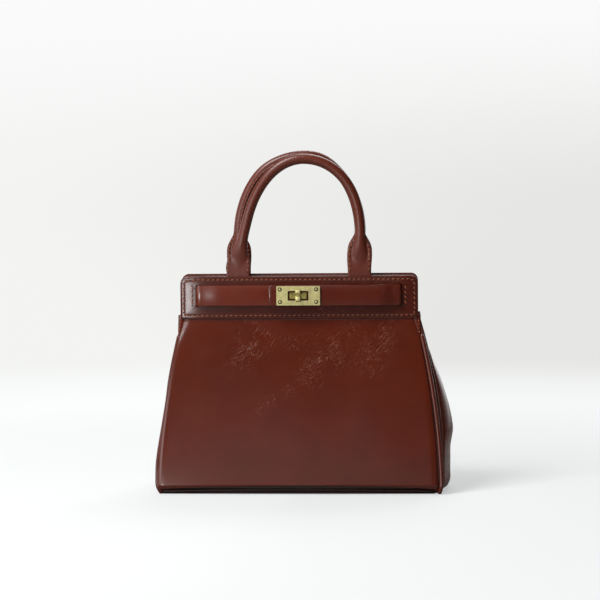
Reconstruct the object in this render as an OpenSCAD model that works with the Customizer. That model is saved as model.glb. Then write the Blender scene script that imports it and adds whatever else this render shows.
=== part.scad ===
// Structured leather bag with two rolled top handles and a strap with a turn lock.
// Millimetres, +Z up, front towards -Y. The origin is the middle of the base, on the ground.

/* [Body] */
// Height of the front wall's top edge above the ground
body_h = 184; // [150:1:230]
// Width of the panels between their side seams, at the base
base_w = 240; // [200:1:300]
// Width of the panels where they go in behind the bands
neck_w = 201; // [180:1:230]
// Depth of the body at its widest, front face to back face
base_d = 104; // [80:1:140]
// Height at which the body is deepest
belly_h = 12; // [6:1:24]
// How far the panels tuck in below that height
belly_tuck = 2.5; // [0:0.1:5]
// How much further forward a panel's middle lies than its edges, at the base
crown = 1.5; // [0:0.1:4]
// Width of the zone in which a panel's edge turns towards the gusset
edge_zone = 7; // [4:0.5:12]
// How far a panel's edge turns in
edge_turn = 2.5; // [0:0.1:4]
// Curve of the side seams: 1 is straight, more draws them in towards the top
flare_power = 1.9; // [1:0.1:3]
// Curve of the walls seen from the side: 1 is straight
lean_power = 1.25; // [1:0.05:2]
// Height by which the back wall stands above the front wall
back_rise = 2; // [0:0.5:6]
// Thickness of the body leather
leather_t = 1.6; // [1:0.1:2.4]

/* [Base and lining] */
// Thickness of the base leather
base_t = 2; // [1:0.1:3]
// Thickness of the board in the base
board_t = 2; // [1:0.1:3]
// Distance from the edge of the base to the board
board_inset = 4; // [2:0.5:10]
// Thickness of the lining cloth
lining_t = 0.8; // [0.5:0.1:1.5]
// Distance from a panel's side edge to its lining
lining_inset = 8; // [5:0.5:15]
// Width of the slip pocket
pocket_w = 120; // [60:1:160]
// Height of the slip pocket
pocket_h = 78; // [40:1:90]
// Height of the slip pocket's foot above the ground
pocket_foot = 38; // [20:1:50]

/* [Bands] */
// Width of the bands
band_w = 206; // [180:1:236]
// Height of the front band
band_h = 37; // [34:1:50]
// Thickness of the band leather
band_t = 1.8; // [1:0.1:2.5]
// Radius of the bands' corners
band_r = 6; // [2:0.5:10]
// Depth across the outer faces of the two bands
bands_d = 18; // [18:0.5:26]
// Height of the panel's edge that is sewn in behind a band
panel_lap = 8; // [4:0.5:10]
// Thickness of the facing that closes a band on the inside
facing_t = 1; // [0.6:0.1:1.4]
// Distance that the facing reaches below the band
facing_drop = 6; // [3:0.5:10]
// Distance from the band's edge to the facing and the stiffener
facing_inset = 1.5; // [1:0.1:3]
// Width of the stiffener
stiffener_w = 168; // [150:1:170]

/* [Gussets] */
// Thickness of the gusset leather
gusset_t = 1.4; // [1:0.1:2]
// How far the gussets bulge out at mid height
gusset_bulge = 13; // [6:0.5:18]
// Curve of a gusset seen from above: 2 is a round bulge, more is flatter in the middle
gusset_power = 2.4; // [2:0.1:4]
// How far the gussets fold in at the top
pleat_in = 14; // [6:0.5:16]
// Height at which the outward bulge turns into the inward fold
pleat_z = 118; // [100:1:126]
// Height by which the gussets reach up behind the bands
gusset_lap = 5; // [0:0.5:8]
// Diameter of the piping
piping_d = 3.6; // [2.5:0.1:4.5]
// Height at which the piping ends
piping_top = 132; // [110:1:138]
// Radius of the piping's bend at the bottom of the back seam
piping_bend = 5; // [4:0.5:10]

/* [Strap] */
// Width of the strap
strap_w = 17.8; // [15:0.1:22]
// Thickness of the strap
strap_t = 2.6; // [2:0.1:3]
// Distance from the top edge of the front wall to the middle of the strap
strap_drop = 16.7; // [14:0.1:18.5]
// Distance from the middle of the band to each slit
slit_x = 88; // [84:0.5:92]
// Width of a slit
slit_w = 3; // [2.6:0.1:4]
// Height left free above and below the strap in a slit
slit_play = 0.5; // [0.3:0.1:1]
// Thickness of the strap where it goes through the slit
leg_t = 2; // [1.4:0.1:2.2]
// Thickness of the strap's skived tail behind the band
tail_t = 1; // [0.6:0.1:1.4]
// Length of the tail behind the band
tail_l = 9; // [5:0.5:11]
// Distance from the middle of the lock to the over strap's end
over_end = 26; // [24:0.5:32]
// Radius of the over strap's end corners
over_end_r = 3; // [2:0.5:7]
// Distance from the middle of the lock to the under strap's end
under_end = 24; // [20:0.5:30]
// Distance over which the strap falls from the lock to the band
strap_fall_x = 30; // [28:0.5:40]

/* [Turn lock] */
// Width of the lock plate
plate_w = 37.5; // [34:0.5:42]
// Height of the lock plate
plate_h = 16.6; // [15.6:0.1:17.6]
// Thickness of the lock plate
plate_t = 1.6; // [1.2:0.1:2.2]
// Radius of the lock plate's corners
plate_r = 0.6; // [0.5:0.1:2]
// Width of the slot in the lock plate
slot_w = 17.9; // [16.5:0.1:20]
// Height of the slot in the lock plate
slot_h = 8.4; // [7.4:0.1:9]
// Width of the raised rim round the slot
rim_w = 1; // [0.6:0.1:1.2]
// Height of the raised rim
rim_t = 0.5; // [0.3:0.1:0.8]
// Distance between the screws across the plate
screw_dx = 31.2; // [28:0.1:32]
// Distance between the screws down the plate
screw_dz = 10.8; // [9.8:0.1:11.8]
// Diameter of a screw's head
screw_head_d = 2.8; // [2.4:0.1:3.2]
// Thickness of a screw's head
screw_head_t = 0.7; // [0.5:0.1:1]
// Diameter of a screw's shank
screw_d = 1.6; // [1.2:0.1:1.8]
// Thickness of the plate behind the over strap
back_plate_t = 0.8; // [0.5:0.1:1.2]
// Width of the boss
boss_w = 14.6; // [13:0.1:16]
// Height of the boss
boss_h = 5.4; // [5.4:0.1:6.6]
// Width of the flange under the boss, past each side of it
flange_w = 1; // [0.4:0.1:1.2]
// Thickness of the flange under the boss
flange_t = 0.7; // [0.5:0.1:1]
// Thickness of the washer behind the under strap
washer_t = 0.5; // [0.3:0.1:0.8]
// Width of a prong
prong_w = 2.2; // [1.6:0.1:3]
// Thickness of a prong
prong_t = 0.7; // [0.5:0.1:1]
// Distance between the two prongs
prong_dx = 11; // [9:0.5:12]
// Length of the toggle
toggle_l = 10.5; // [9.5:0.1:12]
// Width of the toggle
toggle_w = 5.3; // [4.5:0.1:6.5]
// Thickness of the toggle
toggle_t = 2.8; // [2:0.1:4]
// Radius of the hollow across the toggle's face
toggle_hollow_r = 3.2; // [2.8:0.1:5]
// Depth of the hollow across the toggle's face
toggle_hollow = 1; // [0.5:0.1:1.4]
// Diameter of the toggle's spindle
spindle_d = 3; // [2.4:0.1:3.4]
// Diameter of the spindle's peened head
spindle_head_d = 4.4; // [4:0.1:4.8]
// Thickness of the spindle's peened head
spindle_head_t = 0.6; // [0.4:0.1:0.8]

/* [Snap] */
// Distance from the top edge of the front wall to the middle of the snap
snap_drop = 16; // [15:0.5:20]
// Diameter of the snap's two discs
snap_d = 18; // [14:0.5:20]
// Thickness of the stud's disc
stud_disc_t = 1.2; // [0.8:0.1:1.6]
// Diameter of the stud
stud_d = 5; // [4:0.1:6]
// Length of the stud
stud_l = 2.4; // [1.5:0.1:2.8]
// Diameter of the leather pads under the discs
pad_d = 26; // [22:0.5:28]
// Thickness of the leather pads
pad_t = 1.5; // [1:0.1:1.8]

/* [Handles] */
// Distance between the middles of a handle's two tabs
tab_dx = 105; // [90:1:120]
// Width of a tab at its foot
tab_w = 20; // [15:0.5:22]
// Width of a tab at its widest
tab_wide = 21.5; // [17:0.5:24]
// Thickness of a tab at its foot
tab_t = 2; // [1.6:0.1:2.6]
// Height of a tab, from its foot to where the handle is round
tab_h = 34; // [28:1:40]
// Depth to which a tab is sewn in behind the band
tab_root = 25; // [15:0.5:27]
// Thickness of a tab where it is sewn in
root_t = 1.4; // [1:0.1:1.5]
// Diameter of the rolled handle
handle_d = 8.8; // [8:0.1:12]
// Diameter of the handle's core
core_d = 5.8; // [5:0.1:7]
// Height of the front handle above its band, to the middle of the roll
front_handle_h = 101; // [85:1:130]
// Height of the back handle above its band, to the middle of the roll
back_handle_h = 102; // [85:1:130]
// How far the top of the front handle leans sideways
front_handle_lean = 3.5; // [-6:0.5:6]
// How far the top of the back handle leans sideways
back_handle_lean = 1; // [-6:0.5:6]
// Fullness of the front handle's arch: 2 is an ellipse
front_fullness = 2.1; // [1.8:0.05:2.6]
// Fullness of the back handle's arch: 2 is an ellipse
back_fullness = 2.3; // [1.8:0.05:2.6]
// Height above the band at which a tab bends
bend_h = 2; // [1.8:0.1:3]

/* [Fits] */
// Clearance between pieces that lie or move against each other
gap = 0.3; // [0.2:0.05:0.4]
// Glue line between layers that are stuck together
glue = 0.1; // [0.05:0.05:0.15]
// Clearance of a screw, prong or cord in its hole, all round
hole_play = 0.1; // [0.05:0.05:0.2]
// Clearance of the toggle's spindle in its bore, all round
spindle_play = 0.05; // [0.02:0.01:0.1]

/* [Hidden] */
$fn = 48;

// How far a cut runs past the face it goes through
over = 1;

leather = "#5a2118";
strap_leather = "#5f271f";
brass = "#b9a86a";
steel = "#b8b8b4";
cloth = "#3a2a22";
card = "#8a7a60";

// Heights
neck_z = body_h - band_h;
strap_z = body_h - strap_drop;
snap_z = body_h - snap_drop;
gusset_top = neck_z + gusset_lap;
back_h = body_h + back_rise;
panel_foot = base_t / 2 + glue * 2;
board_z = base_t + glue;
base_lining_z = board_z + board_t + glue;
lining_foot = base_lining_z + lining_t + gap;
lining_top = neck_z - facing_drop / 2;
gusset_foot = piping_d + gap * 2;

// Distances of the layers of a top wall from the middle plane, from the outside in
band_out = bands_d / 2;
band_in = band_out - band_t;
layer_out = band_in - glue;
layer_in = layer_out - leather_t;
layer_mid = (layer_out + layer_in) / 2;
facing_out = layer_in - glue;
facing_in = facing_out - facing_t;
pad_face = facing_in - glue - pad_t;

// Distances of the lock's layers from the middle plane, from the band out
washer_in = band_out + gap;
under_in = washer_in + washer_t + glue;
under_out = under_in + strap_t;
over_in = under_out + gap;
over_out = over_in + strap_t;
plate_in = over_out + glue;
plate_out = plate_in + plate_t;
rim_out = plate_out + rim_t;
toggle_in = rim_out + gap;
boss_in = under_out + glue;
boss_out = rim_out - gap;
back_plate_in = over_in + glue;
back_plate_out = back_plate_in + back_plate_t;

// Shares, chosen by hand, of the sizes that they follow
column_shares = [-1, -0.985, -0.965, -0.94, -0.8, -0.5, 0, 0.5, 0.8, 0.94, 0.965, 0.985, 1];
lining_column_shares = [-1, -0.6, 0, 0.6, 1];
gusset_column_shares = [-1, -0.93, -0.8, -0.6, -0.3, 0, 0.3, 0.6, 0.8, 0.93, 1];
tab_wide_share = 0.42;
arch_foot_share = 0.28;

function clamp01(t) = min(1, max(0, t));
function ease(t) = (1 - cos(180 * clamp01(t))) / 2;
function mix(a, b, t) = a + (b - a) * t;

// Half of a panel's width at height z
function half_width(z) =
    base_w / 2 - (base_w - neck_w) / 2 * pow(clamp01(z / neck_z), flare_power);

// Distance of a panel's outer face from the middle plane at height z, along its centre line
function half_depth(z) =
    z < belly_h
        ? base_d / 2 - belly_tuck * pow((belly_h - z) / belly_h, 2)
        : mix(base_d / 2, layer_out, pow(clamp01((z - belly_h) / (neck_z - belly_h)), lean_power));

// The same at a share u of the half width, with the crown and the turned edge
function face_y(u, z) =
    let (
        up = clamp01(z / neck_z),
        from = 1 - edge_zone / half_width(z),
        turn = edge_turn * (1 - up)
    )
    half_depth(z) - crown * (1 - up) * u * u - turn * pow(max(0, (abs(u) - from) / (1 - from)), 2);

// Distance of a side seam from the middle plane at height z
function seam_y(z) = face_y(1, z);

// A point of a front wall sheet that lies the distance inset behind the panel's outer face
function wall_point(u, z, side_inset, inset) =
    let (x = u * (half_width(z) - side_inset))
    [x, -(face_y(x / half_width(z), z) - inset), z];

// A closed sheet between two grids of points, each a list of rows
module sheet(front, back) {
    rows = len(front);
    cols = len(front[0]);
    count = rows * cols;
    at = function (side, r, c) side * count + r * cols + c;
    polyhedron(
        points = concat([for (row = front) each row], [for (row = back) each row]),
        faces = concat(
            [for (r = [0:rows - 2], c = [0:cols - 2]) each [
                [at(0, r, c), at(0, r + 1, c), at(0, r + 1, c + 1)],
                [at(0, r, c), at(0, r + 1, c + 1), at(0, r, c + 1)],
                [at(1, r, c), at(1, r + 1, c + 1), at(1, r + 1, c)],
                [at(1, r, c), at(1, r, c + 1), at(1, r + 1, c + 1)]
            ]],
            [for (r = [0:rows - 2]) each [
                [at(0, r, 0), at(1, r, 0), at(1, r + 1, 0)],
                [at(0, r, 0), at(1, r + 1, 0), at(0, r + 1, 0)],
                [at(0, r, cols - 1), at(1, r + 1, cols - 1), at(1, r, cols - 1)],
                [at(0, r, cols - 1), at(0, r + 1, cols - 1), at(1, r + 1, cols - 1)]
            ]],
            [for (c = [0:cols - 2]) each [
                [at(0, 0, c), at(1, 0, c + 1), at(1, 0, c)],
                [at(0, 0, c), at(0, 0, c + 1), at(1, 0, c + 1)],
                [at(0, rows - 1, c), at(1, rows - 1, c), at(1, rows - 1, c + 1)],
                [at(0, rows - 1, c), at(1, rows - 1, c + 1), at(0, rows - 1, c + 1)]
            ]]
        )
    );
}

// A closed skin over rings of points that all have the same count
module skin(rings) {
    count = len(rings);
    sides = len(rings[0]);
    polyhedron(
        points = [for (ring = rings) each ring],
        faces = concat(
            [[for (k = [0:sides - 1]) k]],
            [for (r = [0:count - 2], k = [0:sides - 1])
                let (a = r * sides + k, b = r * sides + (k + 1) % sides)
                each [[a, a + sides, b + sides], [a, b + sides, b]]],
            [[for (k = [sides - 1:-1:0]) (count - 1) * sides + k]]
        )
    );
}

// A flat piece drawn in X and Z, its faces at the distances inner and outer in front of the middle plane
module slab(inner, outer) {
    translate([0, -inner, 0]) rotate([90, 0, 0]) linear_extrude(outer - inner) children();
}

// A rectangle with round corners, about the origin
module rounded(w, h, r) {
    square([w - 2 * r, h], center = true);
    square([w, h - 2 * r], center = true);
    for (x = [-1, 1], y = [-1, 1]) translate([x * (w / 2 - r), y * (h / 2 - r)]) circle(r);
}

// Body panels

// Heights of a wall sheet's rows: two below the belly, then even ones up to the top
function row_heights(foot, top, count) =
    concat([foot, mix(foot, belly_h, 1 / 2)], [for (i = [0:count]) mix(belly_h, top, i / count)]);

module wall_panel() {
    heights = concat(row_heights(panel_foot, neck_z, 14), [neck_z + panel_lap]);
    sheet(
        [for (z = heights) [for (u = column_shares) wall_point(u, z, 0, 0)]],
        [for (z = heights) [for (u = column_shares) wall_point(u, z, 0, leather_t)]]
    );
}

module front_panel() {
    color(leather) wall_panel();
}

module back_panel() {
    color(leather) mirror([0, 1, 0]) wall_panel();
}

// Outline of the base, the distance inset inside the panels
module base_outline(inset) {
    z = panel_foot;
    reach = half_width(z);
    front = [for (u = column_shares)
        let (x = u * (reach - inset))
        [x, -(face_y(x / reach, z) - leather_t - gap - inset)]];
    back = [for (i = [len(front) - 1:-1:0]) [front[i][0], -front[i][1]]];
    polygon(concat(front, back));
}

module base_panel() {
    color(leather) linear_extrude(base_t) base_outline(0);
}

module base_board() {
    color(card) translate([0, 0, board_z]) linear_extrude(board_t) base_outline(board_inset);
}

module base_lining() {
    color(cloth) translate([0, 0, base_lining_z]) linear_extrude(lining_t) base_outline(board_inset);
}

// Lining

module wall_lining() {
    inset = leather_t + gap;
    heights = row_heights(lining_foot, lining_top, 10);
    sheet(
        [for (z = heights) [for (u = lining_column_shares) wall_point(u, z, lining_inset, inset)]],
        [for (z = heights) [for (u = lining_column_shares) wall_point(u, z, lining_inset, inset + lining_t)]]
    );
}

module front_lining() {
    color(cloth) wall_lining();
}

module back_lining() {
    color(cloth) mirror([0, 1, 0]) wall_lining();
}

module slip_pocket() {
    rows_n = 6;
    inset = leather_t + lining_t + gap * 2;
    point = function (u, z, d)
        let (x = u * pocket_w / 2)
        [x, -(face_y(x / half_width(z), z) - d), z];
    heights = [for (i = [0:rows_n]) pocket_foot + pocket_h * i / rows_n];
    color(cloth) mirror([0, 1, 0]) sheet(
        [for (z = heights) [for (u = lining_column_shares) point(u, z, inset)]],
        [for (z = heights) [for (u = lining_column_shares) point(u, z, inset + lining_t)]]
    );
}

// Bands, with their stiffeners and facings

module band_outline(top) {
    h = top - neck_z;
    translate([0, neck_z + h / 2]) rounded(band_w, h, band_r);
    translate([-band_w / 2, neck_z]) square([band_w, band_r]);
}

module front_band() {
    color(leather) slab(band_in, band_out) difference() {
        band_outline(body_h);
        for (side = [-1, 1]) translate([side * slit_x, strap_z])
            square([slit_w, strap_w + 2 * slit_play], center = true);
    }
}

module back_band() {
    color(leather) mirror([0, 1, 0]) slab(band_in, band_out) band_outline(back_h);
}

// The stiffener's foot rests on the panel's top edge, and it is notched for the tab roots
module stiffener(top) {
    foot = neck_z + panel_lap + gap;
    head = top - facing_inset;
    slab(layer_in, layer_out) difference() {
        translate([-stiffener_w / 2, foot]) square([stiffener_w, head - foot]);
        for (side = [-1, 1])
            translate([side * tab_dx / 2 - tab_w / 2 - gap, top - tab_root - gap])
                square([tab_w + 2 * gap, tab_root + over]);
    }
}

module front_stiffener() {
    color(card) stiffener(body_h);
}

module back_stiffener() {
    color(card) mirror([0, 1, 0]) stiffener(back_h);
}

// The facing is notched at its lower corners, where the gusset folds in
module facing(top) {
    half = band_w / 2 - facing_inset;
    notch_x = neck_w / 2 - pleat_in - gusset_t - gap * 2;
    notch_z = gusset_top + gap;
    foot = neck_z - facing_drop;
    head = top - facing_inset;
    slab(facing_in, facing_out) polygon([
        [-notch_x, foot], [notch_x, foot], [notch_x, notch_z], [half, notch_z],
        [half, head], [-half, head], [-half, notch_z], [-notch_x, notch_z]
    ]);
}

module front_facing() {
    color(leather) facing(body_h);
}

module back_facing() {
    color(leather) mirror([0, 1, 0]) facing(back_h);
}

// Gussets and piping

// How far the middle of a gusset stands out past its edges, less than zero where it folds in
function gusset_stand(z) =
    z < pleat_z
        ? gusset_bulge * sin(180 * z / pleat_z)
        : -pleat_in * (z - pleat_z) / (gusset_top - pleat_z);

// Half of the distance between a gusset's edges; a fold's leather lies on the side of the walls
function gusset_half(z) =
    let (
        slope = gusset_power * max(0, -gusset_stand(z)) / seam_y(z),
        lean = slope / sqrt(1 + slope * slope)
    )
    seam_y(z) - leather_t - gap - gusset_t * lean;

function gusset_point(w, z) =
    [half_width(z) + piping_d / 2 + gusset_stand(z) * (1 - pow(abs(w), gusset_power)), w * gusset_half(z), z];

// The same point moved into the leather by its thickness
function gusset_inner(w, z) =
    let (
        step = 0.02,
        across = gusset_point(w + step, z) - gusset_point(w - step, z),
        n = [across[1], -across[0], 0] / norm(across)
    )
    gusset_point(w, z) - n * gusset_t;

module gusset() {
    rows_n = 20;
    heights = [for (i = [0:rows_n]) mix(gusset_foot, gusset_top, i / rows_n)];
    sheet(
        [for (z = heights) [for (w = gusset_column_shares) gusset_point(w, z)]],
        [for (z = heights) [for (w = gusset_column_shares) gusset_inner(w, z)]]
    );
}

module right_gusset() {
    color(leather) gusset();
}

module left_gusset() {
    color(leather) mirror([1, 0, 0]) gusset();
}

// A ring of the piping round the point c, square to the direction t
function piping_ring(c, t) =
    let (
        sides = 8,
        d = t / norm(t),
        a = cross(d, [1, 0, 0]) / norm(cross(d, [1, 0, 0])),
        b = cross(d, a)
    )
    [for (k = [0:sides - 1]) c + piping_d / 2 * (cos(360 * k / sides) * a + sin(360 * k / sides) * b)];

module piping(path) {
    last = len(path) - 1;
    skin([for (i = [0:last])
        piping_ring(path[i], path[min(i + 1, last)] - path[max(i - 1, 0)])]);
}

function piping_x(z) = half_width(z) + gap + piping_d / 2;
function piping_y(z) = seam_y(z) + gap;

module front_piping() {
    steps = 14;
    piping([for (i = [0:steps])
        let (z = mix(gusset_foot, piping_top, i / steps))
        [piping_x(z), -piping_y(z), z]]);
}

// The piping of the back seam goes on along the side of the base
module back_piping() {
    steps = 14;
    bend_steps = 5;
    low = piping_d / 2;
    bend_z = low + piping_bend;
    back_y = piping_y(bend_z);
    front_y = -seam_y(low) + piping_d / 2 + gap;
    piping(concat(
        [[piping_x(low), front_y, low], [piping_x(low), 0, low]],
        [for (i = [0:bend_steps - 1])
            let (a = 90 * i / bend_steps)
            [piping_x(low), back_y - piping_bend + piping_bend * sin(a), bend_z - piping_bend * cos(a)]],
        [for (i = [0:steps])
            let (z = mix(bend_z, piping_top, i / steps))
            [piping_x(z), piping_y(z), z]]
    ));
}

module right_front_piping() {
    color(leather) front_piping();
}

module left_front_piping() {
    color(leather) mirror([1, 0, 0]) front_piping();
}

module right_back_piping() {
    color(leather) back_piping();
}

module left_back_piping() {
    color(leather) mirror([1, 0, 0]) back_piping();
}

// Strap

// Distance of a strap's inner face from the middle plane, at the distance x from the lock
function strap_in(x, at_lock) =
    mix(at_lock, band_out + gap, ease((x - (slit_x - leg_t - strap_fall_x)) / strap_fall_x));

// Plan of a strap half that ends at the distance end past the lock, drawn for the right side
function strap_plan(at_lock, end) =
    let (
        steps = 12,
        leg_near = slit_x - leg_t / 2,
        leg_far = slit_x + leg_t / 2,
        near = slit_x - leg_t - strap_fall_x,
        shoulder = strap_t,
        corner_steps = 4,
        fall = [for (i = [0:steps]) mix(near, leg_near, i / steps)],
        inner = [for (x = fall) [x, -strap_in(x, at_lock)]],
        outer = [for (i = [steps:-1:0]) if (fall[i] < leg_far - shoulder)
            [fall[i], -strap_in(fall[i], at_lock) - strap_t]],
        corner = [for (i = [0:corner_steps])
            let (a = 90 * i / corner_steps)
            [leg_far - shoulder + shoulder * cos(a), -(band_out + gap) - shoulder * sin(a)]]
    )
    concat(
        [[-end, -at_lock]],
        inner,
        [[leg_near, -layer_out + tail_t], [leg_far + tail_l, -layer_out + tail_t],
         [leg_far + tail_l, -layer_out], [leg_far, -layer_out]],
        corner,
        outer,
        [[-end, -at_lock - strap_t]]
    );

module strap(at_lock, end) {
    translate([0, 0, strap_z - strap_w / 2]) linear_extrude(strap_w) polygon(strap_plan(at_lock, end));
}

// The part of the lock's middle where one strap lies on the other
module at_lock() {
    translate([0, 0, strap_z]) children();
}

module strap_under() {
    color(strap_leather) difference() {
        mirror([1, 0, 0]) strap(under_in, under_end);
        at_lock() slab(under_in - over, under_out + over) prong_holes();
    }
}

module strap_over() {
    keep_w = over_end + slit_x + tail_l + over_end_r + over;
    color(strap_leather) difference() {
        intersection() {
            strap(over_in, over_end);
            at_lock() slab(0, over_out + over) translate([keep_w / 2 - over_end, 0])
                rounded(keep_w, strap_w, over_end_r);
        }
        at_lock() {
            slab(over_in - over, over_out + over) {
                square([slot_w + 2 * gap, slot_h + 2 * gap], center = true);
                screw_places() circle(d = screw_d + 2 * hole_play);
            }
            slab(over_in - over, back_plate_out + glue)
                square([plate_w - 2 * plate_r + 2 * gap, plate_h - 2 * plate_r + 2 * gap], center = true);
        }
    }
}

// Turn lock

module screw_places() {
    for (x = [-1, 1], z = [-1, 1]) translate([x * screw_dx / 2, z * screw_dz / 2]) children();
}

module prong_holes() {
    for (side = [-1, 1]) translate([side * prong_dx / 2, 0])
        square([prong_t + 2 * hole_play, prong_w + 2 * hole_play], center = true);
}

module lock_plate() {
    head_seat = plate_out - screw_head_t;
    color(brass) at_lock() difference() {
        union() {
            slab(plate_in, plate_out) rounded(plate_w, plate_h, plate_r);
            slab(plate_out, rim_out) square([slot_w + 2 * rim_w, slot_h + 2 * rim_w], center = true);
        }
        slab(plate_in - over, rim_out + over) square([slot_w, slot_h], center = true);
        slab(plate_in - over, plate_out + over) screw_places() circle(d = screw_d + 2 * hole_play);
        slab(head_seat, plate_out + over) screw_places() circle(d = screw_head_d + 2 * hole_play);
    }
}

module lock_back_plate() {
    color(steel) at_lock() slab(back_plate_in, back_plate_out) difference() {
        square([plate_w - 2 * plate_r, plate_h - 2 * plate_r], center = true);
        square([slot_w, slot_h], center = true);
        screw_places() circle(d = screw_d + 2 * hole_play);
    }
}

module lock_screws() {
    color(brass) at_lock() {
        slab(back_plate_in, plate_out - screw_head_t + hole_play) screw_places() circle(d = screw_d);
        slab(plate_out - screw_head_t + hole_play, plate_out) screw_places() circle(d = screw_head_d);
    }
}

module lock_boss() {
    seat = boss_in + spindle_head_t + gap;
    color(brass) at_lock() {
        difference() {
            union() {
                slab(boss_in, boss_out) square([boss_w, boss_h], center = true);
                slab(boss_in, boss_in + flange_t)
                    square([boss_w + 2 * flange_w, boss_h + 2 * flange_w], center = true);
            }
            slab(boss_in - over, boss_out + over) circle(d = spindle_d + 2 * spindle_play);
            slab(boss_in - over, seat) circle(d = spindle_head_d + 2 * hole_play);
        }
        for (side = [-1, 1]) slab(washer_in, boss_in) translate([side * prong_dx / 2, 0])
            square([prong_t, prong_w], center = true);
    }
}

module lock_washer() {
    color(steel) at_lock() slab(washer_in, washer_in + washer_t) difference() {
        square([boss_w + 2 * flange_w, boss_h + 2 * flange_w], center = true);
        prong_holes();
    }
}

module lock_toggle() {
    toggle_out = toggle_in + toggle_t;
    hollow_y = toggle_out + toggle_hollow_r - toggle_hollow;
    color(brass) at_lock() {
        difference() {
            slab(toggle_in, toggle_out) rounded(toggle_w, toggle_l, toggle_w / 4);
            translate([0, -hollow_y, 0]) rotate([0, 90, 0])
                cylinder(r = toggle_hollow_r, h = toggle_w + 2 * over, center = true);
        }
        slab(boss_in + glue, toggle_in) circle(d = spindle_d);
        slab(boss_in + glue, boss_in + glue + spindle_head_t) circle(d = spindle_head_d);
    }
}

// Magnetic snap

module front_snap_pad() {
    color(leather) translate([0, 0, snap_z]) slab(pad_face, pad_face + pad_t) circle(d = pad_d);
}

module back_snap_pad() {
    color(leather) mirror([0, 1, 0]) translate([0, 0, snap_z]) slab(pad_face, pad_face + pad_t)
        circle(d = pad_d);
}

stud_seat = pad_face - glue;
stud_face = stud_seat - stud_disc_t;

module snap_stud() {
    color(steel) translate([0, 0, snap_z]) {
        slab(stud_face, stud_seat) circle(d = snap_d);
        slab(stud_face - stud_l, stud_face) circle(d = stud_d);
    }
}

module snap_socket() {
    color(steel) translate([0, 0, snap_z]) difference() {
        slab(-stud_seat, stud_face - gap) circle(d = snap_d);
        slab(stud_face - stud_l - 2 * gap, stud_face + over) circle(d = stud_d + 2 * gap);
    }
}

// Handles

module tab_roots(top) {
    z = top - tab_root;
    stop = top + bend_h - tab_t / 2 - gap;
    for (side = [-1, 1]) translate([side * tab_dx / 2, 0, 0])
        slab(layer_mid - root_t / 2, layer_mid + root_t / 2)
            translate([-tab_w / 2, z]) square([tab_w, stop - z]);
}

module front_tab_roots() {
    color(strap_leather) tab_roots(body_h);
}

module back_tab_roots() {
    color(strap_leather) mirror([0, 1, 0]) tab_roots(back_h);
}

// Centre line of a handle as a list of [x, z], from its left foot over the top to its right foot
function handle_line(top, rise, lean, fullness) =
    let (
        foot = top + bend_h,
        apex = top + rise,
        spring = mix(foot, apex, arch_foot_share),
        arch_steps = 24,
        leg_steps = 6,
        e = 2 / fullness,
        half = tab_dx / 2,
        left = [for (i = [0:leg_steps - 1]) [-half, mix(foot, spring, i / leg_steps)]],
        arch = [for (i = [0:arch_steps])
            let (a = 180 * i / arch_steps)
            [-half * sign(cos(a)) * pow(abs(cos(a)), e), spring + (apex - spring) * pow(sin(a), e)]],
        right = [for (i = [leg_steps - 1:-1:0]) [half, mix(foot, spring, i / leg_steps)]]
    )
    [for (p = concat(left, arch, right)) [p[0] + lean * ease((p[1] - foot) / (apex - foot)), p[1]]];

// Half width and half thickness of the cover at the height h above its foot
function cover_half(h) =
    let (t = clamp01(h / tab_h))
    [
        t < tab_wide_share
            ? mix(tab_w, tab_wide, ease(t / tab_wide_share)) / 2
            : mix(tab_wide, handle_d, ease((t - tab_wide_share) / (1 - tab_wide_share))) / 2,
        mix(tab_t, handle_d, ease(t)) / 2
    ];

// A ring in the plane square to the direction t of the centre line at p
function handle_ring(p, t, half, y, sides) =
    let (n = [t[1], -t[0]] / norm(t))
    [for (k = [0:sides - 1])
        let (a = 360 * k / sides, s = half[0] * cos(a))
        [p[0] + n[0] * s, y + half[1] * sin(a), p[1] + n[1] * s]];

module handle_skin(line, sizes, y, sides) {
    last = len(line) - 1;
    skin([for (i = [0:last])
        handle_ring(line[i], line[min(i + 1, last)] - line[max(i - 1, 0)], sizes[i], y, sides)]);
}

function round_part(line, foot) = [for (p = line) if (p[1] > foot + tab_h) p];

module handle_cover(top, rise, lean, fullness) {
    sides = 16;
    foot = top + bend_h;
    line = handle_line(top, rise, lean, fullness);
    hole = core_d / 2 + hole_play;
    inner = round_part(line, foot);
    difference() {
        union() {
            handle_skin(line, [for (p = line) cover_half(p[1] - foot)], -layer_mid, sides);
            for (side = [-1, 1]) translate([side * tab_dx / 2, -layer_mid, foot]) rotate([0, 90, 0])
                cylinder(d = tab_t, h = tab_w, center = true);
        }
        handle_skin(inner, [for (p = inner) [hole, hole]], -layer_mid, sides);
    }
}

module handle_core(top, rise, lean, fullness) {
    sides = 16;
    line = round_part(handle_line(top, rise, lean, fullness), top + bend_h);
    handle_skin(line, [for (p = line) [core_d, core_d] / 2], -layer_mid, sides);
}

module front_handle_cover() {
    color(leather) handle_cover(body_h, front_handle_h, front_handle_lean, front_fullness);
}

module front_handle_core() {
    color(cloth) handle_core(body_h, front_handle_h, front_handle_lean, front_fullness);
}

module back_handle_cover() {
    color(leather) mirror([0, 1, 0]) handle_cover(back_h, back_handle_h, back_handle_lean, back_fullness);
}

module back_handle_core() {
    color(cloth) mirror([0, 1, 0]) handle_core(back_h, back_handle_h, back_handle_lean, back_fullness);
}

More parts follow.
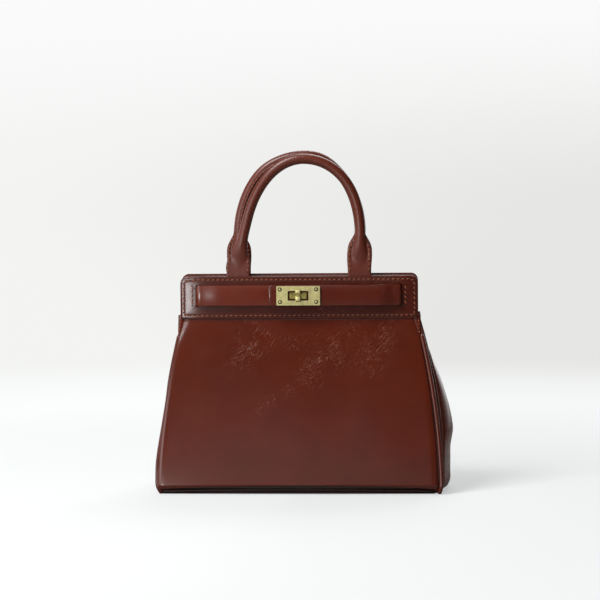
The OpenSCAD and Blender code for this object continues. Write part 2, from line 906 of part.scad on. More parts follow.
base_panel();
base_board();
base_lining();
back_panel();
back_band();
back_stiffener();
back_facing();
back_lining();
slip_pocket();
back_snap_pad();
snap_socket();
back_tab_roots();
left_gusset();
right_gusset();
left_back_piping();
right_back_piping();
front_panel();
front_band();
front_stiffener();
front_facing();
front_lining();
front_snap_pad();
snap_stud();
front_tab_roots();
left_front_piping();
right_front_piping();
strap_under();
strap_over();
lock_plate();
lock_back_plate();
lock_screws();
lock_boss();
lock_washer();
lock_toggle();
front_handle_cover();
front_handle_core();
back_handle_cover();
back_handle_core();
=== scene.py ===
"""A structured leather bag with two rolled top handles and a strap with a turn lock.

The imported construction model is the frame: it gives each piece its place, its size and the body it rides on.
Sizes in this file are millimetres in that frame, with +Z up and the front towards -Y; MM makes them metres.
"""
import logging
import math
from collections.abc import Callable, Sequence
from dataclasses import dataclass, field
from enum import Enum

import bmesh
import bpy
from mathutils import Matrix, Vector, noise


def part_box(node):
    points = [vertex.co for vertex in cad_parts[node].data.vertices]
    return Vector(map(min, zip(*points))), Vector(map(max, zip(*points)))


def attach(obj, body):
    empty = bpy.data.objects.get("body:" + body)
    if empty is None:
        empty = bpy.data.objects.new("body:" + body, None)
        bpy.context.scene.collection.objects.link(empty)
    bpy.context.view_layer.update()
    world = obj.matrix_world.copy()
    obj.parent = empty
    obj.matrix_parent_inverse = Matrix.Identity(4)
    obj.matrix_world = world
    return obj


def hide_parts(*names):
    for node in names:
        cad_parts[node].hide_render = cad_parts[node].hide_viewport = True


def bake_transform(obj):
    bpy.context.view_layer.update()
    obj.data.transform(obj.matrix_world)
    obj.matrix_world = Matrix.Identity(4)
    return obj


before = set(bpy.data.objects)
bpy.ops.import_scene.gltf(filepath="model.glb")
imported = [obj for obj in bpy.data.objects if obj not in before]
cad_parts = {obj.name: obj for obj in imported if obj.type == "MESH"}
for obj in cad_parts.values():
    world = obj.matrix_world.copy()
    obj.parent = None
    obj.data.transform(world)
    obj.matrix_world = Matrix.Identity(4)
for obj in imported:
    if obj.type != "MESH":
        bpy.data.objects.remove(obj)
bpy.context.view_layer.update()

MM = 0.001
WHITE = (1.0, 1.0, 1.0, 1.0)
X_AXIS = Vector((1, 0, 0))
Z_AXIS = Vector((0, 0, 1))
# A rounded edge stops short of a right angle, so that its last ring still has a width
LAST_TURN = math.radians(80)
log = logging.getLogger("bag")


class Side(Enum):
    """A wall of the bag; the value is the sign of its Y."""

    FRONT = -1
    BACK = 1

    @property
    def body(self) -> str:
        """Name of the body that the wall's pieces ride on."""
        return "front_wall" if self is Side.FRONT else "bag_body"

    @property
    def word(self) -> str:
        """The side's name as it stands in the names of the nodes."""
        return self.name.lower()


class Hand(Enum):
    """An end of the bag; the value is the sign of its X."""

    LEFT = -1
    RIGHT = 1

    @property
    def word(self) -> str:
        """The hand's name as it stands in the names of the nodes."""
        return self.name.lower()


# Numbers and shapes


def clamp01(t: float) -> float:
    """Returns t held between 0 and 1."""
    return min(1.0, max(0.0, t))


def mix(a: float, b: float, t: float) -> float:
    """Returns the value at the share t of the way from a to b."""
    return a + (b - a) * t


def ease(t: float) -> float:
    """Returns a smooth step from 0 to 1 as t goes from 0 to 1."""
    return (1 - math.cos(math.pi * clamp01(t))) / 2


def steps(a: float, b: float, count: int) -> list[float]:
    """Returns count + 1 even values from a to b."""
    return [mix(a, b, i / count) for i in range(count + 1)]


def curve(stations: Sequence[tuple[float, float]], t: float) -> float:
    """Value of a smooth curve through stations.

    Args:
        stations: Pairs of place and value, in rising order of place.
        t: The place.

    Returns:
        The value there; past an end it is the end's value.
    """
    last = len(stations) - 1
    if t <= stations[0][0]:
        return stations[0][1]
    if t >= stations[last][0]:
        return stations[last][1]
    i = max(k for k in range(last) if stations[k][0] <= t)

    def slope(k: int) -> float:
        """Returns the slope at a station, from its two neighbours."""
        before, after = stations[max(k - 1, 0)], stations[min(k + 1, last)]
        return (after[1] - before[1]) / (after[0] - before[0])

    (a, start), (b, end) = stations[i], stations[i + 1]
    span = b - a
    s = (t - a) / span
    turned = s * s * (3 - 2 * s)
    bend = s * (1 - s) * span * (slope(i) * (1 - s) - slope(i + 1) * s)
    return mix(start, end, turned) + bend


def node_box(name: str) -> tuple[Vector, Vector]:
    """Returns the lowest and highest corner of a node in millimetres."""
    low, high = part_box(name)
    return Vector(low) / MM, Vector(high) / MM


def rounded(half_w: float, half_h: float, r: float, corner_steps: int = 4) -> list[tuple[float, float]]:
    """Outline of a rectangle with round corners, from the middle of its left side over the top.

    Args:
        half_w: Half of the width.
        half_h: Half of the height.
        r: Radius of the corners.
        corner_steps: Steps in a corner.

    Returns:
        An even count of points; point i of the upper half lies over point -i of the lower half.
    """
    r = min(r, half_w, half_h)
    upper = []
    for cx, start in ((-half_w + r, math.pi), (half_w - r, math.pi / 2)):
        for i in range(corner_steps + 1):
            a = start - math.pi / 2 * i / corner_steps
            upper.append((cx + r * math.cos(a), half_h - r + r * math.sin(a)))
    lower = [(x, -z) for x, z in reversed(upper)]
    return [(-half_w, 0.0), *upper, (half_w, 0.0), *lower]


def resample(line: Sequence[Vector], pitch: float) -> list[Vector]:
    """Points at an even distance, close to pitch, along a line, its two ends among them.

    Args:
        line: The points of the line.
        pitch: The distance to come close to.

    Returns:
        The new points.
    """
    lengths = [(b - a).length for a, b in zip(line, line[1:])]
    total = sum(lengths)
    count = max(1, round(total / pitch))
    found, index, passed = [], 0, 0.0
    for i in range(count + 1):
        target = total * i / count
        while index < len(lengths) - 1 and passed + lengths[index] < target:
            passed += lengths[index]
            index += 1
        share = (target - passed) / lengths[index]
        found.append(line[index].lerp(line[index + 1], min(1.0, share)))
    return found


def circle(middle: Vector, a: Vector, b: Vector, r: float, sides: int) -> list[Vector]:
    """Returns a ring of points round a middle, in the plane of a and b."""
    turns = [math.tau * k / sides for k in range(sides)]
    return [middle + (a * math.cos(t) + b * math.sin(t)) * r for t in turns]


@dataclass
class Draft:
    """A mesh under construction, in millimetres; each face names its finish by number."""

    points: list[Vector] = field(default_factory=list)
    faces: list[tuple[int, ...]] = field(default_factory=list)
    finishes: list[int] = field(default_factory=list)

    def add_face(self, corners: Sequence[int], finish: int) -> None:
        """Adds one face over points that are there already."""
        self.faces.append(tuple(corners))
        self.finishes.append(finish)

    def cap(self, first: int, count: int, finish: int) -> None:
        """Closes a ring whose upper and lower halves face each other.

        Args:
            first: Number of the ring's first point.
            count: Count of its points, which is even.
            finish: Number of the finish.
        """
        half = count // 2
        at = [first + i for i in range(count)]
        self.add_face((at[0], at[1], at[-1]), finish)
        for i in range(1, half - 1):
            self.add_face((at[i], at[i + 1], at[count - i - 1], at[count - i]), finish)
        self.add_face((at[half - 1], at[half], at[half + 1]), finish)

    def loft(self, rings: Sequence[Sequence[Vector]], finish: int = 0) -> None:
        """Adds a closed skin over rings of points that all have the same even count.

        Args:
            rings: The rings, from one end to the other.
            finish: Number of the finish.
        """
        first, count = len(self.points), len(rings[0])
        for ring in rings:
            self.points.extend(ring)
        for r in range(len(rings) - 1):
            for k in range(count):
                a = first + r * count + k
                b = first + r * count + (k + 1) % count
                self.add_face((a, a + count, b + count, b), finish)
        self.cap(first, count, finish)
        self.cap(first + (len(rings) - 1) * count, count, finish)


Surface = Callable[[float, float], Vector]


def sheet(
    surface: Surface, us: Sequence[float], vs: Sequence[float], thick: float, flip: int, edge_steps: int = 3
) -> Draft:
    """A sheet of leather or cloth with round edges, drawn from its outer face inwards.

    Args:
        surface: Gives the outer face's point at u and v.
        us: Values of u from one side edge to the other.
        vs: Values of v from the bottom to the top.
        thick: Thickness of the sheet.
        flip: 1 where the outer face looks along the cross product of u and v, -1 where it looks against it.
        edge_steps: Steps in a quarter of the round edge.

    Returns:
        The closed mesh.
    """
    half, nudge = thick / 2, 1e-3

    def frame_at(u: float, v: float) -> tuple[Vector, Vector, Vector, Vector]:
        """Finds the sheet's middle and its directions.

        Args:
            u: Place across the sheet.
            v: Place up the sheet.

        Returns:
            The middle point, the two tangents and the normal.
        """
        point = surface(u, v)
        span_u, span_v = (us[-1] - us[0]) * nudge, (vs[-1] - vs[0]) * nudge
        tangent_u = (surface(u + span_u, v) - surface(u - span_u, v)).normalized()
        tangent_v = (surface(u, v + span_v) - surface(u, v - span_v)).normalized()
        normal = tangent_u.cross(tangent_v).normalized() * flip
        return point - normal * half, tangent_u, tangent_v, normal

    def ring(v: float, way: int, angle: float) -> list[Vector]:
        """Draws one ring round the sheet.

        Args:
            v: Place up the sheet.
            way: 1 at the top edge, -1 at the bottom edge.
            angle: How far the ring has gone round that edge.

        Returns:
            The ring's points.
        """
        c, s = half * math.cos(angle), half * math.sin(angle)
        frames = [frame_at(u, v) for u in us]
        shifted = [(mid + tv * way * s, tu, normal) for mid, tu, tv, normal in frames]
        front = [mid + normal * c for mid, _, normal in shifted]
        back = [mid - normal * c for mid, _, normal in shifted]
        arc = [math.pi / 2 * k / edge_steps for k in range(1, 2 * edge_steps)]

        def rim(item: tuple[Vector, Vector, Vector], hand: int) -> list[Vector]:
            """Returns the points round a side edge, from the front to the back."""
            mid, tu, normal = item
            return [mid + normal * c * math.cos(a) + tu * hand * c * math.sin(a) for a in arc]

        left, right = rim(shifted[0], -1), rim(shifted[-1], 1)
        middle = edge_steps - 1
        return [
            left[middle], *reversed(left[:middle]), *front, *right[:middle], right[middle],
            *right[middle + 1:], *reversed(back), *reversed(left[middle + 1:]),
        ]

    closing = [LAST_TURN * k / edge_steps for k in range(1, edge_steps + 1)]
    rings = [ring(vs[0], -1, a) for a in reversed(closing)]
    rings += [ring(v, 1, 0.0) for v in vs]
    rings += [ring(vs[-1], 1, a) for a in closing]
    draft = Draft()
    draft.loft(rings)
    return draft


def tube(line: Sequence[Vector], radius: float, sides: int = 16, end_steps: int = 3) -> Draft:
    """A round tube along a line, with domed ends.

    Args:
        line: Points of the centre line.
        radius: The tube's radius.
        sides: Even count of sides.
        end_steps: Steps in a dome.

    Returns:
        The closed mesh.
    """
    last = len(line) - 1
    across = X_AXIS
    frames = []
    for i, point in enumerate(line):
        way = (line[min(i + 1, last)] - line[max(i - 1, 0)]).normalized()
        across = (across - way * across.dot(way)).normalized()
        frames.append((point, way, across, way.cross(across)))

    def ring(index: int, shift: float, share: float) -> list[Vector]:
        """Returns the ring at a point, moved along the line and narrowed."""
        point, way, a, b = frames[index]
        return circle(point + way * shift, a, b, radius * share, sides)

    angles = [LAST_TURN * k / end_steps for k in range(1, end_steps + 1)]
    rings = [ring(0, -radius * math.sin(a), math.cos(a)) for a in reversed(angles)]
    rings += [ring(i, 0, 1) for i in range(last + 1)]
    rings += [ring(last, radius * math.sin(a), math.cos(a)) for a in angles]
    draft = Draft()
    draft.loft(rings)
    return draft


# Finishes

Tree = bpy.types.NodeTree
Node = bpy.types.Node
Socket = bpy.types.NodeSocket
Material = bpy.types.Material


def linear(hex_colour: str) -> tuple[float, float, float, float]:
    """Turns an sRGB hex colour to the linear colour that a shader takes."""
    values = [int(hex_colour[i:i + 2], 16) / 255 for i in (1, 3, 5)]
    return (*[v / 12.92 if v <= 0.04045 else ((v + 0.055) / 1.055) ** 2.4 for v in values], 1.0)


def add_node(tree: Tree, kind: str, settings: dict | None = None, links: dict | None = None) -> Node:
    """Adds a node with its settings and links.

    Args:
        tree: The tree that takes the node.
        kind: The node's type, without the word ShaderNode.
        settings: Values by the name of a property or of an input, or by an input's number.
        links: Sockets to link from, by the name or number of the input.

    Returns:
        The new node.
    """
    node = tree.nodes.new("ShaderNode" + kind)
    for key, value in (settings or {}).items():
        if isinstance(key, str) and hasattr(node, key):
            setattr(node, key, value)
        else:
            node.inputs[key].default_value = value
    for key, source in (links or {}).items():
        tree.links.new(source, node.inputs[key])
    return node


def calc(tree: Tree, operation: str, *values: float | Socket) -> Socket:
    """Adds a Math node.

    Args:
        tree: The tree that takes the node.
        operation: The node's operation.
        values: Its inputs in order, each a number or a socket.

    Returns:
        The result as a socket.
    """
    numbers = {i: value for i, value in enumerate(values) if isinstance(value, (int, float))}
    links = {i: value for i, value in enumerate(values) if i not in numbers}
    return add_node(tree, "Math", {"operation": operation, **numbers}, links).outputs[0]


def ramp(
    tree: Tree, source: Socket, start: float, end: float, low: float, high: float, smooth: bool = True
) -> Socket:
    """Adds a node that goes from low to high as its source goes from start to end.

    Args:
        tree: The tree that takes the node.
        source: The value that it follows.
        start: The source's value where the change begins.
        end: The source's value where it is over.
        low: The result up to the start.
        high: The result from the end on.
        smooth: Whether the change begins and ends softly.

    Returns:
        The result as a socket.
    """
    kind = "SMOOTHSTEP" if smooth else "LINEAR"
    limits = {"From Min": start, "From Max": end, "To Min": low, "To Max": high}
    return add_node(tree, "MapRange", {"interpolation_type": kind, **limits}, {"Value": source}).outputs[0]


def mix_colours(tree: Tree, share: Socket, first: str | Socket, second: str | Socket) -> Socket:
    """Adds a node that mixes two colours.

    Args:
        tree: The tree that takes the node.
        share: The second colour's share.
        first: A hex colour or a socket.
        second: A hex colour or a socket.

    Returns:
        The colour as a socket.
    """
    ends = {6: first, 7: second}
    fixed = {key: linear(end) for key, end in ends.items() if isinstance(end, str)}
    links = {key: end for key, end in ends.items() if key not in fixed}
    return add_node(tree, "Mix", {"data_type": "RGBA", **fixed}, {0: share, **links}).outputs[2]


def mix_shaders(tree: Tree, share: Socket, first: Node, second: Node) -> Node:
    """Adds a node that shows the second shader where the share is 1 and the first where it is 0."""
    return add_node(tree, "MixShader", {}, {0: share, 1: first.outputs[0], 2: second.outputs[0]})


def patches(tree: Tree, place: Socket, size_mm: float, detail: float, rough: float = 0.5) -> Socket:
    """Adds noise.

    Args:
        tree: The tree that takes the node.
        place: The place in the frame.
        size_mm: Width of its patches.
        detail: Count of its finer layers.
        rough: How strong the finer layers are.

    Returns:
        The noise as a socket, around 0.5.
    """
    settings = {"Scale": per_mm(size_mm), "Detail": detail, "Roughness": rough}
    return add_node(tree, "TexNoise", settings, {"Vector": place}).outputs["Fac"]


def bump(tree: Tree, height: Socket, distance: float, strength: float = 1.0) -> Socket:
    """Adds a bump and returns the normal; the distance is what a height of 1 stands for, in metres."""
    return add_node(tree, "Bump", {"Distance": distance, "Strength": strength}, {"Height": height}).outputs[0]


def per_mm(size: float) -> float:
    """Returns the texture scale that makes a pattern's features about this many millimetres wide."""
    return 1 / (size * MM)


@dataclass(frozen=True)
class Creases:
    """A field of fine creases, where the leather was bent when the bag was made."""

    x: float
    z: float
    along: float
    across: float
    angle: float
    strength: float = 1.0


@dataclass(frozen=True)
class Finish:
    """A surface finish. The named finishes below say what each material is."""

    name: str
    colour: str
    roughness: float

    def surface(self, tree: Tree, place: Socket) -> dict[str, float | Socket]:
        """Returns the shader's inputs, each a number or a socket; place is the place in the frame."""
        raise NotImplementedError

    def build(self) -> Material:
        """Builds the finish.

        Returns:
            The material.
        """
        material = bpy.data.materials.new(self.name)
        material.use_nodes = True
        material.diffuse_color = linear(self.colour)
        tree = material.node_tree
        shader = tree.nodes["Principled BSDF"]
        shader.inputs["Base Color"].default_value = linear(self.colour)
        shader.inputs["Roughness"].default_value = self.roughness
        place = add_node(tree, "TexCoord").outputs["Object"]
        for name, value in self.surface(tree, place).items():
            if isinstance(value, float):
                shader.inputs[name].default_value = value
            else:
                tree.links.new(value, shader.inputs[name])
        return material


@dataclass(frozen=True)
class Leather(Finish):
    """Cowhide, aniline dyed, waxed and plated smooth.

    Plating closes the grain, so it shows only as a faint pebble under a soft gloss. The wax gives a second,
    sharper reflection on top. Pull-up: the dye moves where the hide is bent, so creases show lighter; the
    paler crease colour is also a painted highlight, for the light that the creased grain catches.
    """

    dark: str = "#3d1206"
    light: str = "#8a5a4d"
    specular: float = 0.4
    coat: float = 0.12
    coat_roughness: float = 0.15
    cloud_mm: float = 34.0
    clouding: float = 0.35
    grain_mm: float = 1.3
    grain_depth: float = 0.012
    ripple_mm: float = 16.0
    ripple_depth: float = 0.012
    uneven: float = 0.03
    creases: tuple[Creases, ...] = ()
    crease_pale_share: float = 0.65
    crease_depth: float = 0.02
    wander_mm: float = 14.0
    wander_reach: float = 1.8

    def crease_lines(self, tree: Tree, place: Socket, angle: float, long_mm: float, wide_mm: float) -> Socket:
        """Draws a net of fine lines, stretched along one direction of the wall.

        Args:
            tree: The material's tree.
            place: The place in the frame.
            angle: Direction of the lines above the horizontal, in degrees.
            long_mm: Length of the net's cells.
            wide_mm: Width of the net's cells.

        Returns:
            A socket that is 1 on a line and 0 between the lines.
        """
        a = math.radians(angle)
        settings = {"Scale": per_mm(self.wander_mm), "Detail": 2.0}
        wander = add_node(tree, "TexNoise", settings, {"Vector": place}).outputs["Color"]
        settings = {"operation": "MULTIPLY_ADD", 1: (self.wander_reach * MM,) * 3}
        moved = add_node(tree, "VectorMath", settings, {0: wander, 2: place}).outputs[0]
        along = (math.cos(a) * per_mm(long_mm), 0, math.sin(a) * per_mm(long_mm))
        across = (-math.sin(a) * per_mm(wide_mm), 0, math.cos(a) * per_mm(wide_mm))
        x, y = (
            add_node(tree, "VectorMath", {"operation": "DOT_PRODUCT", 1: axis}, {0: moved}).outputs["Value"]
            for axis in (along, across)
        )
        flat = add_node(tree, "CombineXYZ", {}, {0: x, 1: y}).outputs[0]
        settings = {"noise_dimensions": "2D", "Scale": 1.0, "Detail": 0.0}
        waves = add_node(tree, "TexNoise", settings, {"Vector": flat}).outputs["Fac"]
        # A line runs where the noise passes through its middle value
        off_line = calc(tree, "ABSOLUTE", calc(tree, "SUBTRACT", waves, 0.5))
        return ramp(tree, off_line, 0.005, 0.04, 1.0, 0.0)

    def crease_mask(self, tree: Tree, place: Socket) -> Socket:
        """Draws the fields that hold creases.

        Args:
            tree: The material's tree.
            place: The place in the frame.

        Returns:
            A socket that is above 0 inside a field and falls to 0 at its edge.
        """
        total = 0.0
        for part in self.creases:
            settings = {
                "vector_type": "TEXTURE", "Location": (part.x * MM, 0, part.z * MM),
                "Rotation": (0, -math.radians(part.angle), 0),
                "Scale": (part.along * MM, 1e3, part.across * MM),
            }
            inside = add_node(tree, "Mapping", settings, {"Vector": place}).outputs[0]
            reach = add_node(tree, "VectorMath", {"operation": "LENGTH"}, {0: inside}).outputs["Value"]
            total = calc(tree, "MAXIMUM", total, ramp(tree, reach, 0.1, 1.0, part.strength, 0.0))
        return total

    def creased(self, tree: Tree, place: Socket) -> Socket:
        """Draws the creases: steep ones, fainter slack ones across them, and gaps in both.

        Args:
            tree: The material's tree.
            place: The place in the frame.

        Returns:
            A socket that is 1 on the creases of the fields and 0 elsewhere.
        """
        steep = self.crease_lines(tree, place, 50, 11, 2.0)
        slack = calc(tree, "MULTIPLY", self.crease_lines(tree, place, 30, 7, 3.0), 0.5)
        broken = ramp(tree, patches(tree, place, 14, 3.0), 0.36, 0.62, 0.0, 1.0)
        shown = calc(tree, "MULTIPLY", calc(tree, "MAXIMUM", steep, slack), broken)
        return calc(tree, "MULTIPLY", shown, self.crease_mask(tree, place))

    def surface(self, tree: Tree, place: Socket) -> dict[str, float | Socket]:
        """Returns the leather's inputs.

        Args:
            tree: The material's tree.
            place: The place in the frame.

        Returns:
            A number or a socket by the name of the shader's input.
        """
        clouds = patches(tree, place, self.cloud_mm, 4.0)
        share = ramp(tree, clouds, 0.3, 0.7, 0.0, self.clouding, smooth=False)
        dyed = mix_colours(tree, share, self.colour, self.dark)
        settings = {"feature": "SMOOTH_F1", "Scale": per_mm(self.grain_mm)}
        pores = add_node(tree, "TexVoronoi", settings, {"Vector": place}).outputs["Distance"]
        ripples = patches(tree, place, self.ripple_mm, 3.0, 0.45)
        grain = calc(tree, "MULTIPLY", pores, self.grain_depth * MM)
        height = calc(tree, "MULTIPLY_ADD", ripples, self.ripple_depth * MM, grain)
        if self.creases:
            lines = self.creased(tree, place)
            # Creases are drawn paler: partly the pull-up of the dye, partly a painted highlight where the
            # creases catch the light
            dyed = mix_colours(tree, calc(tree, "MULTIPLY", lines, self.crease_pale_share), dyed, self.light)
            height = calc(tree, "MULTIPLY_ADD", lines, -self.crease_depth * MM, height)
        low, high = self.roughness - self.uneven, self.roughness + self.uneven
        return {
            "Base Color": dyed, "Roughness": ramp(tree, ripples, 0.15, 0.85, low, high),
            "Normal": bump(tree, height, 1.0), "Specular IOR Level": self.specular,
            "Coat Weight": self.coat, "Coat Roughness": self.coat_roughness,
        }


@dataclass(frozen=True)
class Metal(Finish):
    """Cast and plated metal, polished and then toned.

    The toning stays in the corners and clouds the polish, so the metal is pale where it was rubbed back and
    olive where it was not.
    """

    toned: str = "#6f663c"
    cloud_mm: float = 3.0
    toning: float = 0.35
    scratch: tuple[float, float, float] = (9.0, 9.0, 0.3)
    scratch_depth: float = 0.01

    def surface(self, tree: Tree, place: Socket) -> dict[str, float | Socket]:
        """Returns the metal's inputs.

        Args:
            tree: The material's tree.
            place: The place in the frame.

        Returns:
            A number or a socket by the name of the shader's input.
        """
        clouds = patches(tree, place, self.cloud_mm, 5.0)
        share = ramp(tree, clouds, 0.35, 0.75, 0.0, self.toning, smooth=False)
        # The polishing mop leaves scratches about 0.05 mm wide; they are drawn 0.3 mm wide so that they show
        scales = {"Scale": tuple(per_mm(size) for size in self.scratch)}
        stretched = add_node(tree, "Mapping", scales, {"Vector": place}).outputs[0]
        settings = {"Scale": 1.0, "Detail": 2.0}
        lines = add_node(tree, "TexNoise", settings, {"Vector": stretched}).outputs["Fac"]
        low, high = self.roughness - 0.05, self.roughness + 0.08
        return {
            "Base Color": mix_colours(tree, share, self.colour, self.toned),
            "Roughness": ramp(tree, lines, 0.3, 0.7, low, high, smooth=False),
            "Normal": bump(tree, lines, self.scratch_depth * MM, 0.6), "Metallic": 1.0,
        }


@dataclass(frozen=True)
class Woven(Finish):
    """Cotton twill or twisted yarn: matt, with fine raised lines that run slantwise."""

    dark: str = "#241812"
    thread_mm: float = 0.8
    slant: tuple[float, float, float] = (1.0, 1.0, 1.0)
    depth: float = 0.05
    sheen: float = 0.15

    def surface(self, tree: Tree, place: Socket) -> dict[str, float | Socket]:
        """Returns the cloth's or yarn's inputs.

        Args:
            tree: The material's tree.
            place: The place in the frame.

        Returns:
            A number or a socket by the name of the shader's input.
        """
        slanted = add_node(tree, "VectorMath", {"operation": "DOT_PRODUCT", 1: self.slant}, {0: place})
        turned = add_node(tree, "CombineXYZ", {}, {0: slanted.outputs["Value"]}).outputs[0]
        # This texture draws about pi waves where others draw one feature
        settings = {"wave_type": "BANDS", "bands_direction": "X", "Scale": per_mm(self.thread_mm) / math.pi}
        lines = add_node(tree, "TexWave", settings, {"Vector": turned}).outputs["Fac"]
        share = calc(tree, "MULTIPLY", lines, patches(tree, place, self.thread_mm * 2, 3.0))
        return {
            "Base Color": mix_colours(tree, share, self.dark, self.colour),
            "Normal": bump(tree, lines, self.depth * MM), "Sheen Weight": self.sheen,
        }


@dataclass(frozen=True)
class Pressed(Finish):
    """Pressed fibre board, or the painted shade of a needle hole: matt and mottled."""

    dark: str = "#5e5138"
    mottle_mm: float = 1.5
    depth: float = 0.05

    def surface(self, tree: Tree, place: Socket) -> dict[str, float | Socket]:
        """Returns the board's inputs.

        Args:
            tree: The material's tree.
            place: The place in the frame.

        Returns:
            A number or a socket by the name of the shader's input.
        """
        fibres = patches(tree, place, self.mottle_mm, 4.0)
        colour = mix_colours(tree, fibres, self.dark, self.colour)
        return {"Base Color": colour, "Normal": bump(tree, fibres, self.depth * MM)}


class Finishes:
    """Every finish of the bag, each built as one material."""

    def __init__(self) -> None:
        """Builds the materials."""
        wall_creases = (
            Creases(x=-40, z=126, along=44, across=26, angle=58, strength=1.0),
            Creases(x=24, z=114, along=58, across=22, angle=45, strength=1.0),
            Creases(x=-14, z=84, along=46, across=9, angle=38, strength=1.0),
            Creases(x=68, z=124, along=46, across=28, angle=54, strength=1.0),
            Creases(x=-5, z=128, along=60, across=14, angle=4, strength=0.6),
        )
        band_creases = (
            Creases(x=50, z=178, along=70, across=10, angle=2, strength=0.9),
            Creases(x=20, z=158, along=90, across=9, angle=2, strength=0.5),
        )
        # Plated cowhide for the body: oxblood brown, glossy, a little softer than the strap
        self.body = Leather("body_cowhide", "#561d0c", 0.2).build()
        self.front = Leather("front_cowhide", "#581d0c", 0.19, creases=wall_creases).build()
        # The band is darker than the panel: partly its own leather, partly painted shade for the shadow that
        # the strap casts on the band
        self.band = Leather("band_cowhide", "#4c180a", 0.2, creases=band_creases).build()
        # The gussets are cut from the softer belly of the hide, so their shine is broader
        self.gusset = Leather("gusset_cowhide", "#6c2913", 0.28).build()
        # The same hide, split thicker and edge painted, so it lies flatter and looks a little redder
        self.strap_over = Leather("over_strap_cowhide", "#591d0e", 0.19, cloud_mm=22).build()
        # The left half is painted paler than the right half: painted light, for the lamps on the left that
        # light it more
        self.strap_under = Leather("under_strap_cowhide", "#6b2715", 0.19, cloud_mm=22).build()
        # Rolled round a cord and rubbed by hands: its wax is worn, so its shine is broader and softer
        self.handle = Leather(
            "handle_cowhide", "#622410", 0.36, specular=0.45, coat=0.06, coat_roughness=0.3, cloud_mm=26,
            ripple_mm=8, ripple_depth=0.015,
        ).build()
        # Thin split leather inside: matt, since it was not waxed
        self.facing = Leather(
            "facing_split", "#4c2018", 0.5, coat=0.0, grain_mm=0.9, grain_depth=0.02, ripple_depth=0.03
        ).build()
        # The base and its welts: nearly black, as painted shade for the deep shadow under the panels' feet
        self.edge = Leather("base_painted_shade", "#200a06", 0.45, coat=0.0, ripple_depth=0.02).build()
        # Waxed polyester thread, three ply: the twist shows as slanted lines, 0.5 mm apart along the row
        self.thread = Woven(
            "waxed_thread", "#b96c40", 0.45, dark="#7f3f24", thread_mm=0.5, depth=0.05, sheen=0.0
        ).build()
        # A needle hole is painted shade: a dark disc for the hole's hollow, mottled at its edge
        self.hole = Pressed("needle_hole_shade", "#120403", 0.9, dark="#0a0202", mottle_mm=0.6).build()
        # Cotton twill: the real wales are 0.5 mm apart and are drawn 0.9 mm apart, so that they show
        self.lining = Woven("cotton_twill", "#4b382e", 0.85, thread_mm=0.9).build()
        # Twisted paper cord, the core of the handles
        self.cord = Woven("paper_cord", "#8f7a5c", 0.8, dark="#5f4e38", thread_mm=1.6, depth=0.2).build()
        # Grey fibre board
        self.board = Pressed("fibre_board", "#8a7a60", 0.9).build()
        # Zinc casting, brass plated and toned as antique brass
        self.brass = Metal("antique_brass", "#d0c78e", 0.5).build()
        # The same, less rubbed back and darker: its olive tone is patina, and also painted shade for the boss
        # that sits recessed in the slot
        self.toned_and_shaded_brass = Metal("toned_brass_and_shade", "#a89c58", 0.4, toned="#4a4422", toning=0.8).build()
        # Nickel plated steel, bright
        self.steel = Metal("plated_steel", "#c4c3be", 0.28, toned="#8d8c86", toning=0.2).build()


finishes = Finishes()


def make_piece(
    name: str, draft: Draft, materials: Sequence[Material], body: str = "",
    stands_for: Sequence[str] = (), sharp_angle: float = 50.0,
) -> bpy.types.Object:
    """Turns a draft into an object of the scene.

    Args:
        name: The piece's name.
        draft: Its mesh, in millimetres.
        materials: The finishes that its faces name by number.
        body: The body it rides on; left out, the piece is attached to no body.
        stands_for: The nodes of the construction model that it replaces.
        sharp_angle: Edges that turn more than this, in degrees, stay sharp.

    Returns:
        The object.
    """
    mesh = bpy.data.meshes.new(name)
    mesh.from_pydata([p * MM for p in draft.points], [], draft.faces)
    mesh.polygons.foreach_set("material_index", draft.finishes)
    work = bmesh.new()
    work.from_mesh(mesh)
    bmesh.ops.recalc_face_normals(work, faces=work.faces)
    work.to_mesh(mesh)
    work.free()
    mesh.shade_smooth()
    mesh.set_sharp_from_angle(angle=math.radians(sharp_angle))
    for material in materials:
        mesh.materials.append(material)
    piece = bpy.data.objects.new(name, mesh)
    bpy.context.scene.collection.objects.link(piece)
    if body:
        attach(piece, body)
    if stands_for:
        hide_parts(*stands_for)
    log.info("%s: %d faces, %s", name, len(mesh.polygons), body or "bends between two bodies")
    return piece


